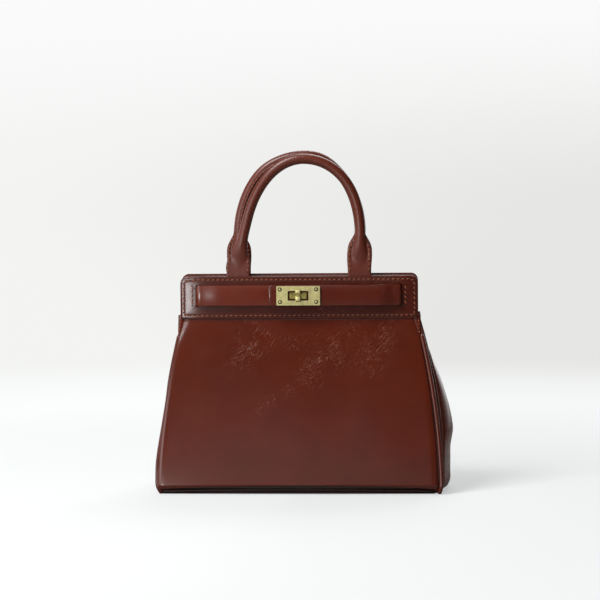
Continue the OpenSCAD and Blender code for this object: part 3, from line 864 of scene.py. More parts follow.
@dataclass(frozen=True)
class Stitching:
    """A row of saddle stitches: slanted threads that dive into a hole at each end."""

    pitch: float = 4.2
    thread_r: float = 0.5
    hole_r: float = 0.7
    hole_depth: float = 0.2
    hole_lift: float = 0.04
    end_gap: float = 0.6
    slant: float = 0.3
    upright_slant: float = 0.8
    rise: float = 0.25
    sink: float = 0.3
    sides: int = 6

    def sew(self, draft: Draft, line: Sequence[Vector], out: Callable[[Vector], Vector]) -> None:
        """Adds a row of stitches to a draft: finish 0 is the thread and finish 1 the holes' painted shade.

        Args:
            draft: Takes the stitches.
            line: The sewing line, on the surface.
            out: Gives the direction out of the surface at a point.
        """
        holes = resample(line, self.pitch)
        for a, b in zip(holes, holes[1:]):
            way = (b - a).normalized()
            normal = out((a + b) / 2).normalized()
            across = way.cross(normal).normalized()
            slant = mix(self.slant, self.upright_slant, abs(way.z))
            start = a + way * self.end_gap + across * slant
            end = b - way * self.end_gap - across * slant
            along = (end - start).normalized()
            beside = along.cross(normal).normalized()
            rings = []
            for share, width in ((0, 0.4), (0.15, 0.85), (0.5, 1), (0.85, 0.85), (1, 0.4)):
                height = mix(-self.sink, self.rise, math.sin(math.pi * share))
                middle = start.lerp(end, share) + normal * height
                rings.append(circle(middle, beside, normal, self.thread_r * width, self.sides))
            draft.loft(rings, 0)
        # Each hole is a dark disc just over the surface: painted shade for the hollow of the hole
        for hole in holes if self.hole_r else ():
            normal = out(hole).normalized()
            side = normal.orthogonal().normalized()
            top, foot = hole + normal * self.hole_lift, hole - normal * self.hole_depth
            draft.loft([circle(p, side, normal.cross(side), self.hole_r, 8) for p in (foot, top)], 1)


@dataclass(frozen=True)
class BagForm:
    """Shape of the bag's walls, with the extents that the construction model gives."""

    base_w: float
    base_d: float
    neck_z: float
    neck_y: float
    neck_w: float = 201.0
    belly_h: float = 8.0
    lean_from: float = 4.0
    foot_h: float = 12.0
    belly_tuck: float = 2.5
    crown: float = 1.5
    edge_zone: float = 7.0
    edge_turn: float = 2.5
    edge_power: float = 4.0
    neck_turn: float = 1.5
    neck_turn_from: float = 122.0
    flare_power: float = 1.9
    lean_power: float = 1.25
    leather_t: float = 1.6
    gap: float = 0.3
    sag: float = 0.6
    sag_mm: float = 62.0
    foot_tuck: float = 5.0
    foot_lift: float = 2.6
    foot_arch: float = 5.5

    @staticmethod
    def from_frame() -> "BagForm":
        """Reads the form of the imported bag.

        Returns:
            The form.
        """
        panel_low, panel_high = node_box("front_panel")
        band_low, band_high = node_box("front_band")
        glue = 0.1
        return BagForm(
            base_w=panel_high.x - panel_low.x, base_d=-2 * panel_low.y, neck_z=band_low.z,
            neck_y=-band_high.y - glue,
        )

    def half_width(self, z: float) -> float:
        """Returns half of a panel's width at height z."""
        return (self.base_w - (self.base_w - self.neck_w) * clamp01(z / self.neck_z) ** self.flare_power) / 2

    def half_depth(self, z: float) -> float:
        """Measures a panel along its centre line.

        Args:
            z: Height.

        Returns:
            Its distance from the middle plane.
        """
        share = clamp01((z - self.lean_from) / (self.neck_z - self.lean_from))
        tucked = self.belly_tuck * max(0.0, 1 - z / self.belly_h) ** 2
        return mix(self.base_d / 2, self.neck_y, share ** self.lean_power) - tucked

    def face_y(self, u: float, z: float) -> float:
        """Measures a panel away from its centre line.

        Args:
            u: Share of the half width, from -1 to 1.
            z: Height.

        Returns:
            Its distance from the middle plane.
        """
        up = clamp01(z / self.neck_z)
        start = 1 - self.edge_zone / self.half_width(z)
        turned = max(0.0, (abs(u) - start) / (1 - start)) ** self.edge_power
        return self.half_depth(z) - self.crown * (1 - up) * u * u - self.edge_turn * (1 - up) * turned

    def seam_y(self, z: float) -> float:
        """Returns the distance of a side seam from the middle plane."""
        return self.face_y(1.0, z)

    def softness(self, u: float, z: float, seed: float) -> float:
        """Measures how far the leather sags or lifts between its seams.

        Args:
            u: Share of the half width, from -1 to 1.
            z: Height.
            seed: Picks the wall's own pattern.

        Returns:
            The distance outwards.
        """
        up = clamp01(z / self.neck_z)
        wave = noise.noise(Vector((u * self.base_w / 2 / self.sag_mm, z / self.sag_mm, seed)))
        return self.sag * wave * (1 - abs(u) ** 6) * math.sin(math.pi * up) ** 0.6

    def panel_point(self, u: float, z: float, side: Side) -> Vector:
        """Returns a point of a panel's outer face.

        Args:
            u: Share of the half width, from -1 to 1.
            z: Height.
            side: The wall.

        Returns:
            The point.
        """
        half = self.half_width(z)
        start = 1 - self.edge_zone / half
        turned = max(0.0, (abs(u) - start) / (1 - start)) ** 2
        near_neck = ease((z - self.neck_turn_from) / (self.neck_z - self.neck_turn_from))
        y = self.face_y(u, z) + self.softness(u, z, side.value * 7.3)
        y -= self.neck_turn * turned * near_neck + self.foot_tuck * max(0.0, 1 - z / self.belly_h) ** 3
        lift = (self.foot_lift + self.foot_arch * (1 - u * u)) * max(0.0, 1 - z / self.foot_h) ** 2
        return Vector((u * half, side.value * y, z + lift))


form = BagForm.from_frame()


@dataclass
class Wall:
    """A front or back wall: the panel, and the band that stiffens its top."""

    side: Side
    band_inset: float = 3.0
    band_r: float = 6.0
    band_foot_r: float = 1.6
    bow: float = 1.5
    bow_from: float = 84.0
    panel_lap: float = 8.0
    slit_x: float = 88.0
    slit_w: float = 3.0
    slit_row_x: float = 92.3
    slit_row_h: float = 17.0
    cloth_t: float = 0.8
    cloth_inset: float = 8.0
    cloth_slack: float = 0.25
    notch_in: float = 16.0
    stitching: Stitching = Stitching()

    def __post_init__(self) -> None:
        """Reads the band's place from the frame."""
        low, high = node_box(f"{self.side.word}_band")
        self.foot, self.top, self.half_w = low.z, high.z, high.x
        self.inner_y, self.outer_y = sorted((abs(low.y), abs(high.y)))

    def bowed(self, x: float) -> float:
        """Returns how far the band's end lies back at x."""
        share = max(0.0, abs(x) - self.bow_from) / (self.half_w - self.bow_from)
        return self.bow * share * share

    def band_point(self, x: float, z: float, y: float) -> Vector:
        """Returns a point at the distance y from the middle plane, on the bowed band."""
        return Vector((x, self.side.value * (y - self.bowed(x)), z))

    def band_outline(self, inset: float, y: float) -> list[Vector]:
        """Outline of the band at a distance inside its edge.

        Args:
            inset: Distance inside the edge.
            y: Distance from the middle plane.

        Returns:
            The points, from the middle of the left side over the top.
        """
        corner_steps, along = 6, 24
        left, right = -self.half_w + inset, self.half_w - inset
        low, high = self.foot + inset, self.top - inset
        middle = (low + high) / 2
        head_r, foot_r = max(self.band_r - inset, 0.6), max(self.band_foot_r - inset, 0.3)

        def half_turn(edge: float, r: float, up: int) -> list[tuple[float, float]]:
            """Draws the corners and the long edge of the upper or lower half.

            Args:
                edge: Height of the long edge.
                r: Radius of the corners.
                up: 1 for the upper half, -1 for the lower half.

            Returns:
                The points, left to right.
            """
            points = []
            for i in range(corner_steps + 1):
                a = math.pi / 2 * i / corner_steps
                points.append((left + r - r * math.cos(a), edge - up * (r - r * math.sin(a))))
            for x in steps(left + r, right - r, along)[1:-1]:
                points.append((x, edge))
            for i in range(corner_steps + 1):
                a = math.pi / 2 * (1 - i / corner_steps)
                points.append((right - r + r * math.cos(a), edge - up * (r - r * math.sin(a))))
            return points

        upper, lower = half_turn(high, head_r, 1), half_turn(low, foot_r, -1)
        flat = [(left, middle), *upper, (right, middle), *reversed(lower)]
        return [self.band_point(x, z, y) for x, z in flat]

    def band(self) -> None:
        """Builds the band, its edge rolled over and pressed in along the stitches."""
        out, inner, inset = self.outer_y, self.inner_y, self.band_inset
        profile = [
            (17.5, inner), (9, inner), (0.4, inner), (0.08, inner + 0.2), (0, inner + 0.7), (0.1, out - 0.7),
            (0.35, out - 0.38), (0.8, out - 0.2), (1.6, out - 0.1), (inset - 0.7, out - 0.08),
            (inset, out - 0.22), (inset + 0.7, out - 0.06), (inset + 2, out), (9, out), (17.5, out),
        ]
        draft = Draft()
        draft.loft([self.band_outline(d, y) for d, y in profile])
        name = f"{self.side.word}_band"
        # The front band's finish carries painted shade for the strap's shadow
        skin = finishes.band if self.side is Side.FRONT else finishes.body
        piece = make_piece(name + "_leather", draft, [skin], self.side.body, [name])
        if self.side is Side.FRONT:
            self.cut_slits(piece)

    def cut_slits(self, piece: bpy.types.Object) -> None:
        """Cuts the two slits that the strap goes through.

        Args:
            piece: The band.
        """
        low, high = node_box("strap_over")
        middle_z, play, past = (low.z + high.z) / 2, 0.5, 2.0
        outline = rounded(self.slit_w / 2, (high.z - low.z) / 2 + play, 0.8)
        cutter = Draft()
        for hand in Hand:
            slit_x = hand.value * self.slit_x
            cutter.loft([
                [Vector((slit_x + x, self.side.value * y, middle_z + z)) for x, z in outline]
                for y in (self.inner_y - past, self.outer_y + past)
            ])
        tool = make_piece("slit_cutter", cutter, [finishes.body])
        cut = piece.modifiers.new("slits", "BOOLEAN")
        cut.object, cut.solver, cut.operation = tool, "EXACT", "DIFFERENCE"
        graph = bpy.context.evaluated_depsgraph_get()
        carved = bpy.data.meshes.new_from_object(piece.evaluated_get(graph))
        piece.modifiers.clear()
        piece.data = carved
        carved.set_sharp_from_angle(angle=math.radians(40))
        bpy.data.objects.remove(tool)

    def band_stitches(self) -> None:
        """Sews the band round its edge and beside the slits."""
        draft = Draft()
        line = self.band_outline(self.band_inset, self.outer_y - 0.2)
        out = Vector((0, self.side.value, 0))
        self.stitching.sew(draft, [*line, line[0]], lambda _: out)
        if self.side is Side.FRONT:
            low, high = node_box("strap_over")
            middle, reach = (low.z + high.z) / 2, self.slit_row_h / 2
            for hand in Hand:
                x = hand.value * self.slit_row_x
                row = [self.band_point(x, z, self.outer_y) for z in steps(middle - reach, middle + reach, 8)]
                self.stitching.sew(draft, row, lambda _: out)
        name = f"{self.side.word}_band_stitches"
        make_piece(name, draft, [finishes.thread, finishes.hole], self.side.body)

    def panel(self) -> None:
        """Builds the wall's panel: a lofted sheet that bellies out at the base and sags between its seams."""
        foot = node_box(f"{self.side.word}_panel")[0].z
        edge = [1, 0.993, 0.984, 0.972, 0.955, 0.93, 0.89, 0.84, 0.77]
        inner = steps(-0.7, 0.7, 28)
        us = [-u for u in edge] + inner + list(reversed(edge))
        vs = [foot, foot + 1, foot + 3, foot + 6, *steps(form.belly_h, form.neck_z - 2, 46)]
        vs += [form.neck_z, form.neck_z + self.panel_lap]
        reach = 1 - form.leather_t / 2 / form.half_width(form.neck_z)
        draft = sheet(
            lambda u, z: form.panel_point(u * reach, z, self.side), us, vs, form.leather_t, -self.side.value
        )
        name = f"{self.side.word}_panel"
        skin = finishes.front if self.side is Side.FRONT else finishes.body
        make_piece(name + "_leather", draft, [skin], self.side.body, [name])

    def lining(self) -> None:
        """Builds the lining cloth behind the panel, a little slack."""
        name = f"{self.side.word}_lining"
        low, high = node_box(name)
        inset = form.leather_t + form.gap

        def point(u: float, z: float) -> Vector:
            """Finds a point of the cloth's outer face.

            Args:
                u: Share of the cloth's half width, from -1 to 1.
                z: Height.

            Returns:
                The point.
            """
            x = u * (form.half_width(z) - self.cloth_inset)
            slack = self.cloth_slack * (1 + noise.noise(Vector((x / 14, z / 20, 4.0))))
            return Vector((x, self.side.value * (form.face_y(x / form.half_width(z), z) - inset - slack), z))

        hem = self.cloth_t / 2
        zs = steps(low.z + hem, high.z - hem, 30)
        draft = sheet(point, steps(-1, 1, 40), zs, self.cloth_t, -self.side.value, 2)
        make_piece(name + "_cloth", draft, [finishes.lining], self.side.body, [name])

    def facing(self) -> None:
        """Builds the facing that closes the band on the inside."""
        name = f"{self.side.word}_facing"
        low, high = node_box(name)
        inner_y, outer_y = sorted((abs(low.y), abs(high.y)))
        gusset_top = node_box("right_gusset")[1].z
        notch_x, notch_z = form.neck_w / 2 - self.notch_in, gusset_top + form.gap
        half = high.x
        corner_r, corner_steps = 4.0, 4

        def outline(inset: float, y: float) -> list[Vector]:
            """Draws the facing's outline; its lower corners are notched to clear the gussets.

            Args:
                inset: Distance inside the edge.
                y: Distance from the middle plane.

            Returns:
                The points, from the left end over the top.
            """
            head, ledge = high.z - inset, notch_z + inset
            step_x, low_z = notch_x - inset, low.z + inset
            upper, lower = [], []
            for i in range(corner_steps + 1):
                a = math.pi / 2 * i / corner_steps
                x = -half + inset + corner_r * (1 - math.cos(a))
                upper.append((x, head - corner_r * (1 - math.sin(a))))
                lower.append((x, ledge))
            upper += [(-step_x, head), (-step_x + 1, head)]
            lower += [(-step_x, ledge), (-step_x, low_z)]
            for x in steps(-step_x + 6, 0, 6):
                upper.append((x, head))
                lower.append((x, low_z))
            top = upper + [(-x, z) for x, z in reversed(upper[:-1])]
            foot = lower + [(-x, z) for x, z in reversed(lower[:-1])]
            return [Vector((x, self.side.value * y, z)) for x, z in [*top, *reversed(foot)]]

        profile = [(1.5, outer_y), (0.3, outer_y), (0, outer_y - 0.3)]
        profile += [(0, inner_y + 0.3), (0.3, inner_y), (1.5, inner_y)]
        draft = Draft()
        draft.loft([outline(d, y) for d, y in profile])
        make_piece(name + "_leather", draft, [finishes.facing], self.side.body, [name])

    def build(self) -> None:
        """Builds and dresses the wall."""
        self.panel()
        self.band()
        self.band_stitches()
        self.lining()
        self.facing()


@dataclass
class Gusset:
    """A gusset with its two pipings. It stands out over the belly and folds in under the bands."""

    hand: Hand
    fullness: tuple[tuple[float, float], ...]
    thick: float = 1.4
    power: float = 2.4
    pleat_in: float = 14.0
    pleat_from: float = 98.0
    pleat_w: float = 0.3
    piping_r: float = 1.8
    piping_top: float = 132.0
    piping_bend: float = 5.0
    foot_tuck: float = 5.0
    foot_tuck_h: float = 11.0
    pulled_in: tuple[tuple[float, float], ...] = ((0, 0.0), (1, 0.0))
    seam_zone: float = 12.0
    flange_at: float = 4.0
    flange_rise: float = 0.5
    valley_at: float = 6.6
    valley: float = 1.3
    flange_w: float = 1.2
    valley_w: float = 1.0
    soft: float = 0.8
    soft_mm: float = 38.0
    pulled_back: float = 1.85
    tape_t: float = 0.8
    strip_t: float = 1.4
    strip_x: float = 104.7

    def __post_init__(self) -> None:
        """Reads the gusset's height from the frame."""
        low, high = node_box(f"{self.hand.word}_gusset")
        self.foot, self.top = low.z, high.z

    def tucked(self, z: float) -> float:
        """Returns how far the seam tucks in under the bag near the foot."""
        return self.foot_tuck * max(0.0, 1 - z / self.foot_tuck_h) ** 2

    def point(self, u: float, z: float) -> Vector:
        """Finds a point of the gusset's outer face.

        Args:
            u: Place across the gusset, from -1 at the front seam to 1 at the back seam.
            z: Height.

        Returns:
            The point.
        """
        half = form.seam_y(z) - form.leather_t - form.gap
        zone = min(self.seam_zone, 0.6 * half)
        share = (1 - abs(u)) * 2
        depth = share * zone if share < 1 else mix(zone, half, share - 1)
        w = 1 - depth / half
        stand = curve(self.fullness, z)
        folded = ease((z - self.pleat_from) / (self.top - self.pleat_from))
        pleat = (self.pleat_in + stand) * folded * math.exp(-(w / self.pleat_w) ** 2)
        flat = 1 - folded
        sewn = self.flange_rise * math.exp(-((depth - self.flange_at) / self.flange_w) ** 2)
        sewn -= self.valley * math.exp(-((depth - self.valley_at) / self.valley_w) ** 2)
        pattern = Vector((w * 1.3, z / self.soft_mm, self.hand.value * 3.1))
        soft = self.soft * noise.noise(pattern) * (1 - w * w)
        seam_x = form.half_width(z) + self.piping_r - curve(self.pulled_in, z) - self.tucked(z)
        x = seam_x + stand * (1 - w ** self.power) - pleat + flat * (sewn + soft)
        return Vector((self.hand.value * x, math.copysign(w * half, u), z))

    def leather(self) -> None:
        """Builds the gusset's leather, attached to no body."""
        name = f"{self.hand.word}_gusset"
        us = steps(-1, -0.5, 20)[:-1] + steps(-0.5, 0.5, 24) + steps(0.5, 1, 20)[1:]
        draft = sheet(self.point, us, steps(self.foot, self.top, 66), self.thick, self.hand.value)
        piece = make_piece(name + "_leather", draft, [finishes.gusset], "", [name])
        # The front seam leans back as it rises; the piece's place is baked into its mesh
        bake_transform(piece)

    def piping_point(self, z: float, side: Side) -> Vector:
        """Finds a point of a piping's centre line along the side seam, which tucks in under the foot.

        Args:
            z: Height.
            side: The wall.

        Returns:
            The point.
        """
        behind = curve(self.pulled_in, z)
        x = form.half_width(z) + form.gap + self.piping_r - self.tucked(z) - behind
        y = form.seam_y(z) + form.gap - self.pulled_back * behind
        return Vector((self.hand.value * x, side.value * y, z))

    def front_piping(self) -> None:
        """Builds the piping of the front seam."""
        name = f"{self.hand.word}_front_piping"
        line = [self.piping_point(z, Side.FRONT) for z in steps(self.piping_r, self.piping_top, 70)]
        draft = tube(line, self.piping_r)
        make_piece(name + "_cord", draft, [finishes.body], "front_wall", [name])

    def back_piping(self) -> None:
        """Builds the piping of the back seam, which goes on along the side of the base."""
        name = f"{self.hand.word}_back_piping"
        low, bend = self.piping_r, self.piping_bend
        side_x = self.piping_point(low, Side.BACK).x
        bend_z = low + bend
        back_y = self.piping_point(bend_z, Side.BACK).y
        front_y = -form.seam_y(low) + self.piping_r * 3 + form.gap
        line = [Vector((side_x, y, low)) for y in steps(front_y, back_y - bend, 30)[:-1]]
        for i in range(8):
            a = math.pi / 2 * i / 8
            z = bend_z - bend * math.cos(a)
            x = self.piping_point(z, Side.BACK).x
            line.append(Vector((x, back_y - bend + bend * math.sin(a), z)))
        line += [self.piping_point(z, Side.BACK) for z in steps(bend_z, self.piping_top, 60)]
        draft = tube(line, self.piping_r)
        make_piece(name + "_cord", draft, [finishes.body], "bag_body", [name])

    def seam_tape(self, side: Side) -> None:
        """Builds the piping's flange, which is sewn in between the panel and the gusset and closes the seam.

        Args:
            side: The wall that it is sewn to.
        """
        behind, inside, outside = 0.1, 4.0, 2.7

        def point(u: float, z: float) -> Vector:
            """Finds a point of the flange's outer face.

            Args:
                u: Place across the flange, from -1 at its inner edge to 1 at its outer edge.
                z: Height.

            Returns:
                The point.
            """
            edge = outside - curve(self.pulled_in, z) - self.tucked(z)
            x = form.half_width(z) + mix(-inside, edge, (u + 1) / 2)
            return Vector((self.hand.value * x, side.value * (form.seam_y(z) - form.leather_t - behind), z))

        vs = steps(self.piping_r + 1, form.neck_z, 50)
        draft = sheet(point, steps(-1, 1, 6), vs, self.tape_t, -side.value * self.hand.value, 2)
        name = f"{self.hand.word}_{side.word}_seam_tape"
        make_piece(name, draft, [finishes.body], side.body, ())

    def neck_strip(self, side: Side) -> None:
        """Builds the stitched strip between a piping's end and the band above it.

        Args:
            side: The wall that it lies on.
        """
        word = f"{self.hand.word}_{side.word}_neck_strip"
        low, high = self.piping_top - 1, form.neck_z + 3
        lap, behind, dome = 1.0, 0.8, 0.4

        def point(u: float, z: float) -> Vector:
            """Finds a point of the strip's outer face, which is domed a little.

            Args:
                u: Place across the strip, from -1 at its inner edge to 1 at its outer edge.
                z: Height.

            Returns:
                The point.
            """
            x = mix(form.half_width(z) - lap, self.strip_x, (u + 1) / 2)
            y = form.seam_y(z) - behind - dome * u * u
            return Vector((self.hand.value * x, side.value * y, z))

        flip = -side.value * self.hand.value
        draft = sheet(point, steps(-1, 1, 8), steps(low, high, 16), self.strip_t, flip, 2)
        make_piece(word, draft, [finishes.body], side.body, ())
        rows = Draft()
        sewing = Stitching(pitch=3.2, thread_r=0.36, hole_r=0.45, slant=0.2, upright_slant=0.4)
        line = [point(0.35, z) for z in steps(low + 3, form.neck_z - 1, 8)]
        sewing.sew(rows, line, lambda _: Vector((0, side.value, 0)))
        make_piece(word + "_stitches", rows, [finishes.thread, finishes.hole], side.body)

    def build(self) -> None:
        """Builds and dresses the gusset."""
        self.leather()
        self.front_piping()
        self.back_piping()
        for side in Side:
            self.seam_tape(side)
            self.neck_strip(side)


@dataclass
class Strap:
    """The two halves of the strap. Each is sewn behind the band and comes out through a slit."""

    thick: float = 2.6
    leg_t: float = 2.0
    slit_x: float = 88.0
    fall: float = 17.0
    shoulder: float = 1.7
    band_gap: float = 0.3
    edge_r: float = 0.75
    end_r: float = 3.0
    leg_inset: float = 0.5
    tail_lap: float = 1.2

    def __post_init__(self) -> None:
        """Reads the places of the halves from the frame."""
        low, high = node_box("strap_over")
        self.middle_z, self.half_h = (low.z + high.z) / 2, (high.z - low.z) / 2
        self.over_end, self.over_out = -low.x, -low.y
        under_low, under_high = node_box("strap_under")
        self.under_end, self.under_out = under_high.x, -under_low.y
        self.band_out = -node_box("front_band")[0].y
        self.tail_y = high.y

    def inner_y(self, x: float, at_lock: float) -> float:
        """Returns the distance of the strap's inner face from the middle plane at the distance x."""
        near = self.slit_x - self.leg_t - self.fall
        return mix(at_lock, self.band_out + self.band_gap, ease((x - near) / self.fall))

    def half(self, name: str, hand: int, end: float, out_y: float, skin: Material) -> None:
        """Builds one half of the strap.

        Args:
            name: The node that it replaces.
            hand: 1 for the half that leaves through the right slit, -1 for the left.
            end: Distance of its free end past the lock.
            out_y: Distance of its outer face from the middle plane at the lock.
            skin: Its finish.
        """
        at_lock, end_r = out_y - self.thick, self.end_r
        stations = []
        for d in (0.0, 0.15, 0.45, 0.9, 1.6, 2.6, end_r):
            narrowed = end_r - math.sqrt(max(0.0, end_r ** 2 - (end_r - min(d, end_r)) ** 2))
            thinned = 1 - 0.5 * max(0.0, 1 - d / 0.9) ** 2
            stations.append((Vector((-end + d, at_lock + self.thick / 2)), self.thick * thinned, narrowed))
        last_x = self.slit_x - self.shoulder
        for x in steps(-end + end_r + 2, last_x, 60):
            stations.append((Vector((x, self.inner_y(x, at_lock) + self.thick / 2)), self.thick, 0.0))
        shoulder_y = self.band_out + self.band_gap + self.thick / 2
        for i in range(1, 7):
            a = math.pi / 2 * i / 6
            x, y = last_x + self.shoulder * math.sin(a), shoulder_y - self.shoulder * (1 - math.cos(a))
            stations.append((Vector((x, y)), mix(self.thick, self.leg_t, i / 6), self.leg_inset * i / 6))
        foot_y = abs(self.tail_y) + self.tail_lap
        for y in steps(shoulder_y - self.shoulder, foot_y, 4)[1:]:
            stations.append((Vector((self.slit_x, y)), self.leg_t, self.leg_inset))
        draft = Draft()
        last = len(stations) - 1
        rings = []
        for i, (middle, thick, narrowed) in enumerate(stations):
            way = (stations[min(i + 1, last)][0] - stations[max(i - 1, 0)][0]).normalized()
            normal = Vector((-way.y, way.x))
            half_h = self.half_h - narrowed
            ring = []
            for z, t in rounded(half_h, thick / 2, min(self.edge_r, thick / 2.2), 4):
                spot = middle + normal * t
                ring.append(Vector((hand * spot.x, -spot.y, self.middle_z + z)))
            rings.append(ring)
        draft.loft(rings)
        make_piece(name + "_leather", draft, [skin], "front_wall", [name])

    def build(self) -> None:
        """Builds the two halves."""
        # The under half's paler finish is painted light from the left
        self.half("strap_under", -1, self.under_end, self.under_out, finishes.strap_under)
        self.half("strap_over", 1, self.over_end, self.over_out, finishes.strap_over)


@dataclass
class TurnLock:
    """The turn lock: the plate on the over strap, the boss on the under strap and the toggle that turns."""

    screw_span: float = 31.2
    rim_t: float = 0.5
    head_r: float = 1.05
    shade_ring_r: float = 1.75
    head_rise: float = 0.4
    shank_r: float = 0.8
    toggle_t: float = 2.8
    toggle_dip: float = 2.1
    dip_w: float = 1.2
    toggle_narrow: float = 0.84
    round_from: float = 0.72
    spindle_r: float = 1.5

    def screws(self) -> None:
        """Builds the four domed screws, each in a dark ring of painted shade for the gap round its head."""
        low, high = node_box("lock_screws")
        plate_low, _ = node_box("lock_plate")
        face = -plate_low.y - self.rim_t
        head_r = (high.x - low.x - self.screw_span) / 2
        shank = [(self.shank_r, -high.y), (self.shank_r, face - 0.6), (self.head_r, face - 0.6)]
        dome = [(self.head_r, face - 0.1)] + [
            (self.head_r * math.cos(math.radians(a)), face - 0.1 + self.head_rise * math.sin(math.radians(a)))
            for a in (20, 45, 70, 86)
        ]
        # The dark ring is painted shade, for the gap round each head
        ring = [(self.shade_ring_r, face - 0.3), (self.shade_ring_r, face + 0.04), (0.3, face + 0.05)]
        draft = Draft()
        for x in (low.x + head_r, high.x - head_r):
            for z in (low.z + head_r, high.z - head_r):
                draft.loft([self.disc(x, z, r, y) for r, y in [*shank, *dome]], 0)
                draft.loft([self.disc(x, z, r, y) for r, y in ring], 1)
        skins = [finishes.brass, finishes.hole]
        make_piece("lock_screw_heads", draft, skins, "front_wall", ["lock_screws"])

    @staticmethod
    def disc(x: float, z: float, r: float, y: float) -> list[Vector]:
        """Returns a ring of points that faces the front, at the distance y from the middle plane."""
        return circle(Vector((x, -y, z)), X_AXIS, Z_AXIS, r, 20)

    def toggle(self) -> None:
        """Builds the toggle: a bar with a hollow for the finger across its face, on a round spindle."""
        low, high = node_box("lock_toggle")
        half_w, half_l = (high.x - low.x) / 2 * self.toggle_narrow, (high.z - low.z) / 2
        middle_z, out = (low.z + high.z) / 2, -low.y
        inner = out - self.toggle_t
        tip = [half_l - 0.4, half_l - 0.12, half_l]
        rings = []
        for z in [*[-z for z in reversed(tip)], *steps(-half_l + 0.8, half_l - 0.8, 24), *tip]:
            share = abs(z) / half_l
            corner = max(0.0, (share - self.round_from) / (1 - self.round_from))
            dip = self.toggle_dip * math.exp(-(z / self.dip_w) ** 2)
            depth = max(0.5, self.toggle_t * math.sqrt(max(0.02, 1 - corner ** 2.4)) - dip)
            width = half_w - 0.5 * max(0.0, (share - 0.85) / 0.15) ** 2
            section = rounded(width, depth / 2, 0.6, 3)
            rings.append([Vector((x, -(inner + depth / 2 + t), middle_z + z)) for x, t in section])
        draft = Draft()
        draft.loft(rings)
        draft.loft([self.disc(0, middle_z, self.spindle_r, y) for y in (-high.y, inner + 0.4)])
        make_piece("lock_toggle_bar", draft, [finishes.brass], "toggle", ["lock_toggle"])

    def build(self) -> None:
        """Builds the pieces that the construction model draws plainly; the others keep their nodes."""
        self.screws()
        self.toggle()


